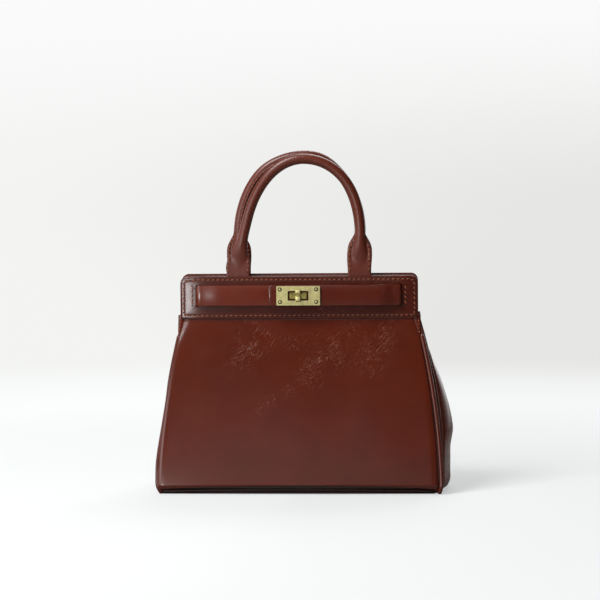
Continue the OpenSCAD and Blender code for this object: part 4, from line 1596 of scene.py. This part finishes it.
@dataclass
class Handle:
    """A rolled handle: a strip folded round a cord and sewn, whose ends open out into flat tabs."""

    side: Side
    rise: float
    lean: float
    fullness: float
    fin_angle: float
    leg_lean: float = 0.0
    top_lean: float = 0.0
    top_from: float = 0.85
    tab_drop: float = 0.0
    tab_dx: float = 105.0
    tab_w: float = 20.0
    tab_wide: float = 21.5
    tab_t: float = 2.0
    tab_h: float = 34.0
    tab_root: float = 25.0
    root_t: float = 1.4
    wide_share: float = 0.42
    arch_foot_share: float = 0.28
    roll_d: float = 8.8
    core_d: float = 5.8
    flat_to: float = 26.0
    thinned_over: float = 3.0
    least_flange: float = 0.12
    groove: float = 0.4
    groove_w: float = 0.7
    bend_h: float = 2.0
    blend_h: float = 12.0
    fin_h: float = 1.3
    fin_r: float = 0.75
    fin_twist: float = 0.0
    fin_t: float = 1.6
    sides: int = 60

    def __post_init__(self) -> None:
        """Reads the band's top and the handle's plane from the frame."""
        self.band_top = node_box(f"{self.side.word}_band")[1].z
        low, high = node_box(f"{self.side.word}_tab_roots")
        self.plane_y = (low.y + high.y) / 2
        self.foot = self.band_top + self.bend_h
        self.apex = self.band_top + self.rise

    def line(self) -> list[Vector]:
        """Draws the handle's centre line.

        Returns:
            Its points as X and Z, from its left foot to its right foot.
        """
        spring = mix(self.foot, self.apex, self.arch_foot_share)
        half, power = self.tab_dx / 2, 2 / self.fullness
        left = [(-half, z) for z in steps(self.foot, spring, 18)[:-1]]
        arch = []
        for i in range(73):
            a = math.pi * i / 72
            c, s = math.cos(a), math.sin(a)
            reach = abs(c) ** power * (1 if c > 0 else -1)
            arch.append((-half * reach, spring + (self.apex - spring) * max(s, 0.0) ** power))
        right = [(-x, z) for x, z in reversed(left)]
        found = []
        for x, z in [*left, *arch, *right]:
            up = (z - self.foot) / (self.apex - self.foot)
            on_left = clamp01(-x / half) ** 0.5
            shift = self.lean * ease(up) + self.leg_lean * ease(up * 2.0) * on_left
            shift += self.top_lean * clamp01((up - self.top_from) / (1 - self.top_from)) ** 2
            found.append(Vector((x + shift, z)))
        return found

    def flange_w(self, h: float) -> float:
        """Measures a tab.

        Args:
            h: Height above its foot.

        Returns:
            Its half width.
        """
        share = h / self.tab_h
        if share < self.wide_share:
            return mix(self.tab_w, self.tab_wide, ease(share / self.wide_share)) / 2
        narrowed = clamp01((share - self.wide_share) / (1 - self.wide_share))
        return mix(self.tab_wide, self.roll_d, ease(narrowed ** 1.6)) / 2

    def roll_size(self, h: float) -> tuple[float, float]:
        """Measures the roll, which flattens out in the tab as a lens.

        Args:
            h: Height above the tab's foot.

        Returns:
            Its half width and its half thickness.
        """
        end = (34, self.roll_d / 2)
        wide = ((4, 3.0), (8, 5.2), (12, 6.5), (16, 6.9), (20, 6.5), (24, 5.6), (28, 4.8), end)
        high = ((4, 0.7), (8, 1.05), (11, 1.4), (14, 1.95), (18, 2.8), (22, 3.5), (26, 4.0), (30, 4.3), end)
        return curve(wide, h), curve(high, h)

    def lowered(self, h: float, on_left: bool) -> float:
        """Returns the height at which a tab's width is read, as the left tab sits lower in the band."""
        return h + (self.tab_drop if on_left else 0.0) * ease(h / 6)

    def ring(self, centre: Vector, way: Vector, h: float) -> list[Vector]:
        """Draws the section of the handle at a point of its centre line.

        Args:
            centre: The point, as X and Z.
            way: The line's direction there.
            h: Height above the tab's foot.

        Returns:
            The section's points.
        """
        on_left = centre.x < 0
        width = self.flange_w(self.lowered(h, on_left) if h > 0 else 0.0)
        flange = self.tab_t / 2 * (1 - ease((h - self.flat_to) / (self.tab_h - self.flat_to)))
        if h < 0:
            flange = mix(self.tab_t, self.root_t, clamp01(-h / self.thinned_over)) / 2
        flange = max(flange, self.least_flange)
        roll_w, roll_t = self.roll_size(h)
        if on_left and self.tab_drop:
            width = max(width, roll_w)
        roll_w = min(roll_w, width)
        across = Vector((way.y, -way.x))
        upper = []
        for k in range(self.sides // 2 + 1):
            s = -width * math.cos(math.tau * k / self.sides)
            edge = max(0.0, abs(s) - (width - flange)) / flange
            flat = flange * math.sqrt(max(0.0, 1 - edge * edge))
            bulge = roll_t * math.sqrt(max(0.0, 1 - (s / roll_w) ** 2))
            dip = self.groove * math.exp(-((abs(s) - roll_w) / self.groove_w) ** 2) * ease((h - 9) / 6)
            flat = max(0.0, flat - dip * clamp01((width - roll_w) / 2))
            upper.append((s, (flat ** 6 + bulge ** 6) ** (1 / 6)))
        flat_ring = upper[:-1] + [(s, -t) for s, t in reversed(upper[1:])]
        return [
            Vector((centre.x + across.x * s, self.plane_y + self.side.value * t, centre.y + across.y * s))
            for s, t in flat_ring
        ]

    def path(self) -> list[tuple[Vector, Vector, float]]:
        """Draws the whole centre line, roots included.

        Returns:
            Its points as X and Z, each with the line's direction and the height above the foot.
        """
        line = self.line()
        root_zs = steps(self.band_top - self.tab_root, self.foot, 8)[:-1]
        left = [Vector((line[0].x, z)) for z in root_zs]
        right = [Vector((line[-1].x, z)) for z in reversed(root_zs)]
        whole = [*left, *line, *right]
        last = len(whole) - 1
        return [
            (p, (whole[min(i + 1, last)] - whole[max(i - 1, 0)]).normalized(), p.y - self.foot)
            for i, p in enumerate(whole)
        ]

    def fin_direction(self, way: Vector) -> Vector:
        """Finds the direction in which the seam stands out of the roll, towards the other handle.

        Args:
            way: The centre line's direction, as X and Z.

        Returns:
            The seam's direction.
        """
        a = math.radians(self.fin_angle + self.fin_twist * max(0.0, way.x) ** 2)
        outwards = Vector((-way.y, 0, way.x))
        return outwards * math.cos(a) + Vector((0, -self.side.value, 0)) * math.sin(a)

    def seam(self) -> tuple[Draft, Draft]:
        """Draws the fin where the rolled strip's two edges meet, and the stitches on the face that shows.

        Returns:
            The fin and the stitches.
        """
        path = [item for item in self.path() if item[2] > self.tab_h * 0.7]
        count = len(path) - 1
        rings, row = [], []
        for i, (centre, way, _) in enumerate(path):
            out = self.fin_direction(way)
            along = Vector((way.x, 0, way.y))
            beside = along.cross(out).normalized()
            grown = ease(min(i, count - i) / 5)
            root = Vector((centre.x, self.plane_y, centre.y))
            low, high = self.roll_d / 2 - 1, self.roll_d / 2 + mix(-0.6, self.fin_h, grown)
            half = (high - low) / 2
            rings.append([
                root + out * (low + half + a) + beside * b
                for a, b in rounded(half, self.fin_t / 2, self.fin_r, 5)
            ])
            if grown > 0.99 and abs(way.x) < 0.8:
                row.append((root + out * (self.roll_d / 2 + self.fin_h * 0.45), beside))
        fin = Draft()
        fin.loft(rings)
        threads = Draft()
        sewing = Stitching(pitch=4.0, thread_r=0.26, hole_r=0.0, slant=0.1, upright_slant=0.1, rise=0.12)
        for hand in Hand:
            leg = [(p - beside * self.fin_t / 2, -beside) for p, beside in row if p.x * hand.value > 0]
            sideways = {p.z: out for p, out in leg}
            line = [p for p, _ in leg]
            sewing.sew(threads, line, lambda p: sideways[min(sideways, key=lambda z: abs(z - p.z))])
        return fin, threads

    def tab_stitches(self, draft: Draft) -> None:
        """Sews the flanges of the two tabs, on both faces.

        Args:
            draft: Takes the stitches.
        """
        inset = 2.0
        sewing = Stitching(pitch=3.9, thread_r=0.42, hole_r=0.5, slant=0.2, upright_slant=0.35)
        tabs = [item for item in self.path() if 1 < item[2] < self.tab_h]
        for on_left in (True, False):
            leg = [item for item in tabs if (item[0].x < 0) == on_left]
            for edge in (-1, 1):
                for face in (-1, 1):
                    row = []
                    for centre, _, h in leg:
                        width = self.flange_w(self.lowered(h, on_left)) - inset
                        if width > self.roll_size(h)[0] + 0.6:
                            y = self.plane_y + face * self.tab_t / 2
                            row.append(Vector((centre.x + edge * width, y, centre.y)))
                    if len(row) > 2:
                        sewing.sew(draft, row, lambda _: Vector((0, face, 0)))

    def core(self) -> None:
        """Builds the cord inside the roll."""
        inside = [centre for centre, _, h in self.path() if h > self.tab_h * 0.8]
        name = f"{self.side.word}_handle_core"
        draft = tube([Vector((centre.x, self.plane_y, centre.y)) for centre in inside], self.core_d / 2)
        make_piece(name + "_cord", draft, [finishes.cord], f"{self.side.word}_handle", [name])

    def build(self) -> None:
        """Builds the handle: its cover, its seam, its stitches and its core."""
        word = self.side.word
        body = f"{word}_handle"
        cover = Draft()
        cover.loft([self.ring(centre, way, min(h, self.tab_h)) for centre, way, h in self.path()])
        fin, threads = self.seam()
        self.tab_stitches(threads)
        skin = make_piece(
            f"{word}_handle_leather", cover, [finishes.handle], "",
            [f"{word}_handle_cover", f"{word}_tab_roots"], 60,
        )
        make_piece(f"{word}_handle_seam", fin, [finishes.handle], body, ())
        sewn = make_piece(f"{word}_handle_stitches", threads, [finishes.thread, finishes.hole])
        self.core()
        for piece in (skin, sewn):
            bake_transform(piece)


@dataclass
class Interior:
    """The pieces inside the bag that show when it is open, and the base."""

    pocket_w: float = 120.0
    pocket_slack: float = 0.8
    welt_r: float = 1.7
    welt_in: float = 6.0
    welt_lift: float = 0.3
    welt_arch: float = 1.4
    pad_seam: float = 1.9

    def base_outline(self, z: float, inset: float) -> list[Vector]:
        """Draws the outline of the base.

        Args:
            z: Height.
            inset: Distance inside the panels.

        Returns:
            The points, from the middle of the left end over the front.
        """
        foot = node_box("front_panel")[0].z
        reach = form.half_width(foot)
        us = [-1, -0.985, -0.96, -0.93, *steps(-0.85, 0.85, 22), 0.93, 0.96, 0.985, 1]
        front = []
        for u in us:
            x = u * (reach - inset)
            y = form.face_y(min(1.0, abs(x) / reach), foot) - form.leather_t - form.gap - inset
            front.append(Vector((x, -y, z)))
        back = [Vector((p.x, -p.y, z)) for p in reversed(front)]
        return [Vector((front[0].x, 0, z)), *front, Vector((front[-1].x, 0, z)), *back]

    def base(self) -> None:
        """Builds the base leather, its edge rounded, and the cloth that lies over the board inside."""
        low, high = node_box("base_panel")
        draft = Draft()
        profile = [(6, low.z), (4.4, low.z), (3.75, low.z + 0.25), (3.5, low.z + 0.8), (3.5, high.z - 0.4)]
        draft.loft([self.base_outline(z, d) for d, z in [*profile, (3.9, high.z), (6, high.z)]])
        # The base leather is nearly black: painted shade for the shadow under the bag
        make_piece("base_leather", draft, [finishes.edge], "bag_body", ["base_panel"])
        low, high = node_box("base_lining")
        cloth = Draft()
        profile = [(6, low.z), (4.2, low.z), (4, low.z + 0.3), (4.3, high.z)]
        profile += [(8, high.z + 0.2), (14, high.z + 0.3)]
        cloth.loft([self.base_outline(z, d) for d, z in profile])
        make_piece("base_lining_cloth", cloth, [finishes.lining], "bag_body", ["base_lining"])

    def foot_welt(self, side: Side) -> None:
        """Builds the welt that closes the seam between a panel and the base.

        Args:
            side: The wall above it.
        """
        foot = node_box("front_panel")[0].z
        reach = form.half_width(foot) - self.welt_r
        line = []
        for u in steps(-1, 1, 60):
            y = form.face_y(u, foot) - self.welt_in
            z = self.welt_r + self.welt_lift + self.welt_arch * (1 - u * u)
            line.append(Vector((u * reach, side.value * y, z)))
        draft = tube(line, self.welt_r)
        # The welt is nearly black: painted shade for the shadow under the panel's foot
        make_piece(f"{side.word}_foot_welt", draft, [finishes.edge], side.body, ())

    def pocket(self) -> None:
        """Builds the slip pocket on the back lining, its mouth a little slack and hemmed."""
        low, high = node_box("slip_pocket")
        cloth_t, fold_t, stand_off, hem_h = 0.8, 0.9, 0.5, 9.0
        inset = form.leather_t + cloth_t + form.gap * 2

        def point(u: float, z: float) -> Vector:
            """Finds a point of the pocket's face towards the lining.

            Args:
                u: Share of the pocket's half width, from -1 to 1.
                z: Height.

            Returns:
                The point.
            """
            x = u * self.pocket_w / 2
            up = clamp01((z - low.z) / (high.z - low.z))
            slack = self.pocket_slack * (1 - u * u) * up * up
            return Vector((x, form.face_y(x / form.half_width(z), z) - inset - stand_off - slack, z))

        us, vs = steps(-1, 1, 24), steps(low.z, high.z - 1, 20)
        draft = sheet(point, us, vs, cloth_t, -1, 2)
        inwards, hem_zs = Vector((0, -stand_off, 0)), steps(high.z - hem_h, high.z - 0.6, 4)
        hem = sheet(lambda u, z: point(u, z) + inwards, us, hem_zs, fold_t, -1, 2)
        shift = len(draft.points)
        draft.points += hem.points
        draft.faces += [tuple(i + shift for i in face) for face in hem.faces]
        draft.finishes += hem.finishes
        make_piece("slip_pocket_cloth", draft, [finishes.lining], "bag_body", ["slip_pocket"])

    def snap_pads(self) -> None:
        """Builds the leather pads under the snap, domed and sewn round."""
        for side in Side:
            name = f"{side.word}_snap_pad"
            low, high = node_box(name)
            middle_z, r = (low.z + high.z) / 2, (high.x - low.x) / 2
            inner, outer = sorted((abs(low.y), abs(high.y)))
            draft = Draft()
            profile = [(r - 2, outer), (r - 0.3, outer), (r, outer - 0.4)]
            profile += [(r - 0.1, inner + 0.5), (r - 0.6, inner), (r - 3, inner)]
            draft.loft([
                circle(Vector((0, side.value * y, middle_z)), X_AXIS, Z_AXIS, q, 48) for q, y in profile
            ])
            make_piece(name + "_leather", draft, [finishes.facing], side.body, [name])
            middle = Vector((0, side.value * (inner + 0.02), middle_z))
            ring = circle(middle, X_AXIS, Z_AXIS, r - self.pad_seam, 48)
            threads = Draft()
            sewing = Stitching(
                pitch=3.6, thread_r=0.3, hole_r=0.36, slant=0.15, upright_slant=0.15, rise=0.12
            )
            sewing.sew(threads, [*ring, ring[0]], lambda _: Vector((0, -side.value, 0)))
            make_piece(name + "_stitches", threads, [finishes.thread, finishes.hole], side.body)

    def build(self) -> None:
        """Builds and dresses the inside and the base."""
        self.base()
        for side in Side:
            self.foot_welt(side)
        self.pocket()
        self.snap_pads()


def dress_nodes() -> None:
    """Gives each node that stays its finish, and softens the edges of the metal and the board."""
    worn = {
        # The boss's darker brass is partly painted shade, for its recess in the plate's slot
        "lock_plate": (finishes.brass, 0.28), "lock_boss": (finishes.toned_and_shaded_brass, 0.2),
        "lock_back_plate": (finishes.steel, 0.1), "lock_washer": (finishes.steel, 0.1),
        "snap_stud": (finishes.steel, 0.25), "snap_socket": (finishes.steel, 0.25),
        "base_board": (finishes.board, 0.0), "front_stiffener": (finishes.board, 0.0),
        "back_stiffener": (finishes.board, 0.0),
    }
    for name, (material, edge) in worn.items():
        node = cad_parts[name]
        node.data.materials.clear()
        node.data.materials.append(material)
        if edge:
            bevel = node.modifiers.new("worn_edge", "BEVEL")
            bevel.width, bevel.segments, bevel.limit_method = edge * MM, 2, "ANGLE"
            bevel.angle_limit = math.radians(35)
            bevel.harden_normals = True
        log.info("%s keeps its node, in %s", name, material.name)


@dataclass
class Studio:
    """The room: a pale floor, soft lamps and the camera at the photograph's angle."""

    azimuth: float = 3.4
    elevation: float = 2.5
    distance: float = 1.7
    roll: float = 0.45
    aim: tuple[float, float, float] = (0.0006, 0.0, 0.1629)
    lamp_aim: tuple[float, float, float] = (0.0, 0.0, 0.12)
    lens: float = 117.44
    floor_r: float = 30.0
    soft_light: float = 0.15
    floor_glow: float = 0.14
    paper: str = "#e2e4e4"
    left_paper: str = "#fcfefe"
    right_paper: str = "#f6f8f8"
    table: str = "#9a9a98"
    left_wall: str = "#f3f4f2"
    right_wall: str = "#e6e6e4"
    high_wall: str = "#fafafa"

    def camera(self) -> None:
        """Places the camera."""
        data = bpy.data.cameras.new("camera")
        data.lens, data.sensor_width = self.lens, 36.0
        data.clip_start, data.clip_end = 0.05, 100.0
        camera = bpy.data.objects.new("camera", data)
        bpy.context.scene.collection.objects.link(camera)
        a, e = math.radians(self.azimuth), math.radians(self.elevation)
        back = Vector((math.sin(a) * math.cos(e), -math.cos(a) * math.cos(e), math.sin(e)))
        turn = (-back).to_track_quat("-Z", "Y").to_matrix().to_4x4()
        roll = Matrix.Rotation(math.radians(-self.roll), 4, "Z")
        camera.matrix_world = Matrix.Translation(Vector(self.aim) + back * self.distance) @ turn @ roll
        bpy.context.scene.camera = camera

    def floor(self) -> None:
        """Lays the floor, which goes over into the backdrop's colour away from the bag."""
        rings, sides = [0.3, 0.6, 1.0, 1.6, 3.0, 8.0, self.floor_r], 64
        turns = [math.tau * k / sides for k in range(sides)]
        points = [(r * math.cos(t), r * math.sin(t), 0.0) for r in rings for t in turns]
        points.append((0.0, 0.0, 0.0))
        centre = len(points) - 1
        faces = [(centre, k, (k + 1) % sides) for k in range(sides)]
        for r in range(len(rings) - 1):
            for k in range(sides):
                a, b = r * sides + k, r * sides + (k + 1) % sides
                faces.append((a, a + sides, b + sides, b))
        mesh = bpy.data.meshes.new("floor")
        mesh.from_pydata(points, [], faces)
        floor = bpy.data.objects.new("floor", mesh)
        bpy.context.scene.collection.objects.link(floor)
        mesh.materials.append(self.floor_paper())

    @staticmethod
    def two_tone(tree: Tree, sideways: Socket, left: str, right: str) -> Socket:
        """Returns a colour that goes over from one on the left to another on the right."""
        return mix_colours(tree, ramp(tree, sideways, -0.24, 0.1, 0.0, 1.0), left, right)

    def floor_paper(self) -> Material:
        """Builds the floor's material: matt paper that keeps the shadow near the bag.

        Far from the bag the camera sees the backdrop's colour, and mirrored rays see the dark room.

        Returns:
            The material.
        """
        material = bpy.data.materials.new("floor_paper")
        material.use_nodes = True
        tree = material.node_tree
        tree.nodes.clear()
        place = add_node(tree, "TexCoord").outputs["Object"]
        far = add_node(tree, "VectorMath", {"operation": "LENGTH"}, {0: place}).outputs["Value"]
        way = add_node(tree, "VectorMath", {"operation": "NORMALIZE"}, {0: place}).outputs[0]
        sideways = add_node(tree, "SeparateXYZ", {}, {0: way}).outputs["X"]
        rays = add_node(tree, "LightPath").outputs
        seen = calc(tree, "MULTIPLY", ramp(tree, far, 0.24, 0.8, 0.5, 1.0), rays["Is Camera Ray"])
        mirrored = calc(tree, "MULTIPLY", ramp(tree, far, 0.5, 1.1, 0.0, 1.0), rays["Is Glossy Ray"])
        tone = mix_colours(tree, rays["Is Camera Ray"], self.table, self.paper)
        paper = add_node(tree, "BsdfDiffuse", {}, {"Color": tone})
        pale = mix_colours(
            tree, ramp(tree, far, 0.75, 1.6, 0.0, 1.0),
            self.two_tone(tree, sideways, self.left_paper, self.right_paper),
            self.two_tone(tree, sideways, self.left_wall, self.right_wall),
        )
        backdrop = add_node(tree, "Emission", {"Strength": 1.0}, {"Color": pale})
        room = add_node(tree, "Emission", {"Color": WHITE, "Strength": self.floor_glow})
        shown = mix_shaders(tree, mirrored, mix_shaders(tree, seen, paper, backdrop), room)
        add_node(tree, "OutputMaterial", {}, {"Surface": shown.outputs[0]})
        return material

    @staticmethod
    def mirrored_room(tree: Tree, x: Socket, y: Socket, z: Socket) -> Socket:
        """Draws what the leather mirrors: a dark room with a broad soft screen, side walls and a ceiling.

        Args:
            tree: The world's tree.
            x: The direction's part to the right.
            y: Its part to the back.
            z: Its part upwards.

        Returns:
            The room's brightness in that direction.
        """
        # The screen's top edge falls to the right and is bowed
        middle = calc(tree, "ADD", x, 0.05)
        slanted = calc(tree, "MULTIPLY_ADD", x, 0.8, z)
        bowed = calc(tree, "MULTIPLY_ADD", calc(tree, "MULTIPLY", middle, middle), 11.0, slanted)
        below = ramp(tree, bowed, 0.43, 0.52, 1.0, 0.1)
        screen = calc(tree, "MULTIPLY", ramp(tree, z, 0.07, 0.19, 0.0, 0.7), below)
        # The walls are lit low down, the left one more than the right one
        left = ramp(tree, x, -0.26, -0.1, 1.1, 0.0)
        dark = ramp(tree, x, 0.36, 0.6, 1.0, 0.04)
        right = calc(tree, "MULTIPLY", ramp(tree, x, 0.15, 0.3, 0.0, 0.3), dark)
        walls = calc(tree, "MULTIPLY", calc(tree, "ADD", left, right), ramp(tree, z, 0.14, 0.42, 1.0, 0.04))
        # A lit wall behind the bag, and the ceiling
        behind = calc(tree, "MULTIPLY", ramp(tree, y, 0.5, 0.95, 0.0, 1.8), ramp(tree, z, 0.2, 0.6, 1.0, 0.2))
        ceiling = ramp(tree, z, 0.74, 0.95, 0.0, 0.35)
        total = calc(tree, "MAXIMUM", calc(tree, "ADD", screen, walls), behind)
        return calc(tree, "MAXIMUM", total, ceiling)

    def world(self) -> None:
        """Lights the room evenly; reflections and the camera each see their own part of it."""
        world = bpy.data.worlds.new("studio")
        bpy.context.scene.world = world
        world.use_nodes = True
        tree = world.node_tree
        tree.nodes.clear()
        way = add_node(tree, "TexCoord").outputs["Generated"]
        parts = add_node(tree, "SeparateXYZ", {}, {0: way}).outputs
        x, y, z = parts["X"], parts["Y"], parts["Z"]
        walls = self.two_tone(tree, x, self.left_wall, self.right_wall)
        backdrop = mix_colours(tree, ramp(tree, z, 0.0, 0.11, 0.0, 1.0), walls, self.high_wall)
        rays = add_node(tree, "LightPath").outputs
        soft = add_node(tree, "Background", {"Color": WHITE, "Strength": self.soft_light})
        room = self.mirrored_room(tree, x, y, z)
        glossy = add_node(tree, "Background", {"Color": WHITE}, {"Strength": room})
        seen = add_node(tree, "Background", {"Strength": 1.0}, {"Color": backdrop})
        unseen = mix_shaders(tree, rays["Is Glossy Ray"], soft, glossy)
        shown = mix_shaders(tree, rays["Is Camera Ray"], unseen, seen)
        add_node(tree, "OutputWorld", {}, {"Surface": shown.outputs[0]})

    def lamp(self, name: str, place: Sequence[float], size: tuple[float, float], power: float) -> None:
        """Hangs a softbox that looks at the bag.

        Args:
            name: The lamp's name.
            place: Its place, in metres.
            size: Its width and height, in metres.
            power: Its power, in watts.
        """
        data = bpy.data.lights.new(name, "AREA")
        data.shape, data.size, data.size_y, data.energy = "RECTANGLE", *size, power
        lamp = bpy.data.objects.new(name, data)
        bpy.context.scene.collection.objects.link(lamp)
        lamp.location = place
        lamp.rotation_euler = (Vector(self.lamp_aim) - Vector(place)).to_track_quat("-Z", "Y").to_euler()

    def build(self) -> None:
        """Sets up the room."""
        bpy.context.scene.view_settings.view_transform = "Standard"
        self.camera()
        self.floor()
        self.world()
        self.lamp("key", (-0.8, -0.72, 1.55), (0.8, 0.7), 31)
        self.lamp("fill", (-0.9, -0.9, 0.5), (0.6, 0.6), 3.7)
        self.lamp("strip", (-0.5, -1.19, 0.12), (0.22, 0.14), 2.4)
        self.lamp("rear", (0.3, 1.3, 1.6), (1.2, 0.8), 18)


def main() -> None:
    """Builds and dresses the bag, sub-assembly by sub-assembly, and sets up the room."""
    logging.basicConfig(level=logging.INFO, format="%(name)s: %(message)s")
    assemblies = [
        Wall(Side.FRONT),
        Wall(Side.BACK),
        Gusset(
            Hand.LEFT,
            fullness=((0, 0.5), (26, 1.4), (60, 2.0), (96, 1.6), (130, 0.8), (152, 0.6)),
            pulled_in=((0, 1.4), (9, 2.0), (26, 1.7), (44, 2.5), (61, 3.2), (78, 3.3), (96, 2.5), (132, 1.8)),
        ),
        Gusset(Hand.RIGHT, fullness=(
            (0, 5.0), (4, 7.2), (9, 8.2), (17, 8.2), (26, 8.9), (36, 9.8), (44, 11.8), (51, 13.4), (58, 13.4),
            (70, 12.4), (87, 10.1), (104, 7.0), (113, 6.1), (130, 4.8), (152, 4.0),
        ), foot_tuck=2.5),
        Strap(),
        TurnLock(),
        Handle(
            Side.FRONT, rise=101.0, lean=4.2, fullness=2.1, fin_angle=38.0, fin_twist=70.0, leg_lean=4.8,
            tab_drop=11.0,
        ),
        Handle(Side.BACK, rise=102.3, lean=1.2, fullness=2.12, fin_angle=108.0, leg_lean=-0.9, top_lean=4.2),
        Interior(),
    ]
    for assembly in assemblies:
        log.info("building %s", type(assembly).__name__)
        assembly.build()
    dress_nodes()
    Studio().build()


if __name__ == "__main__":
    main()
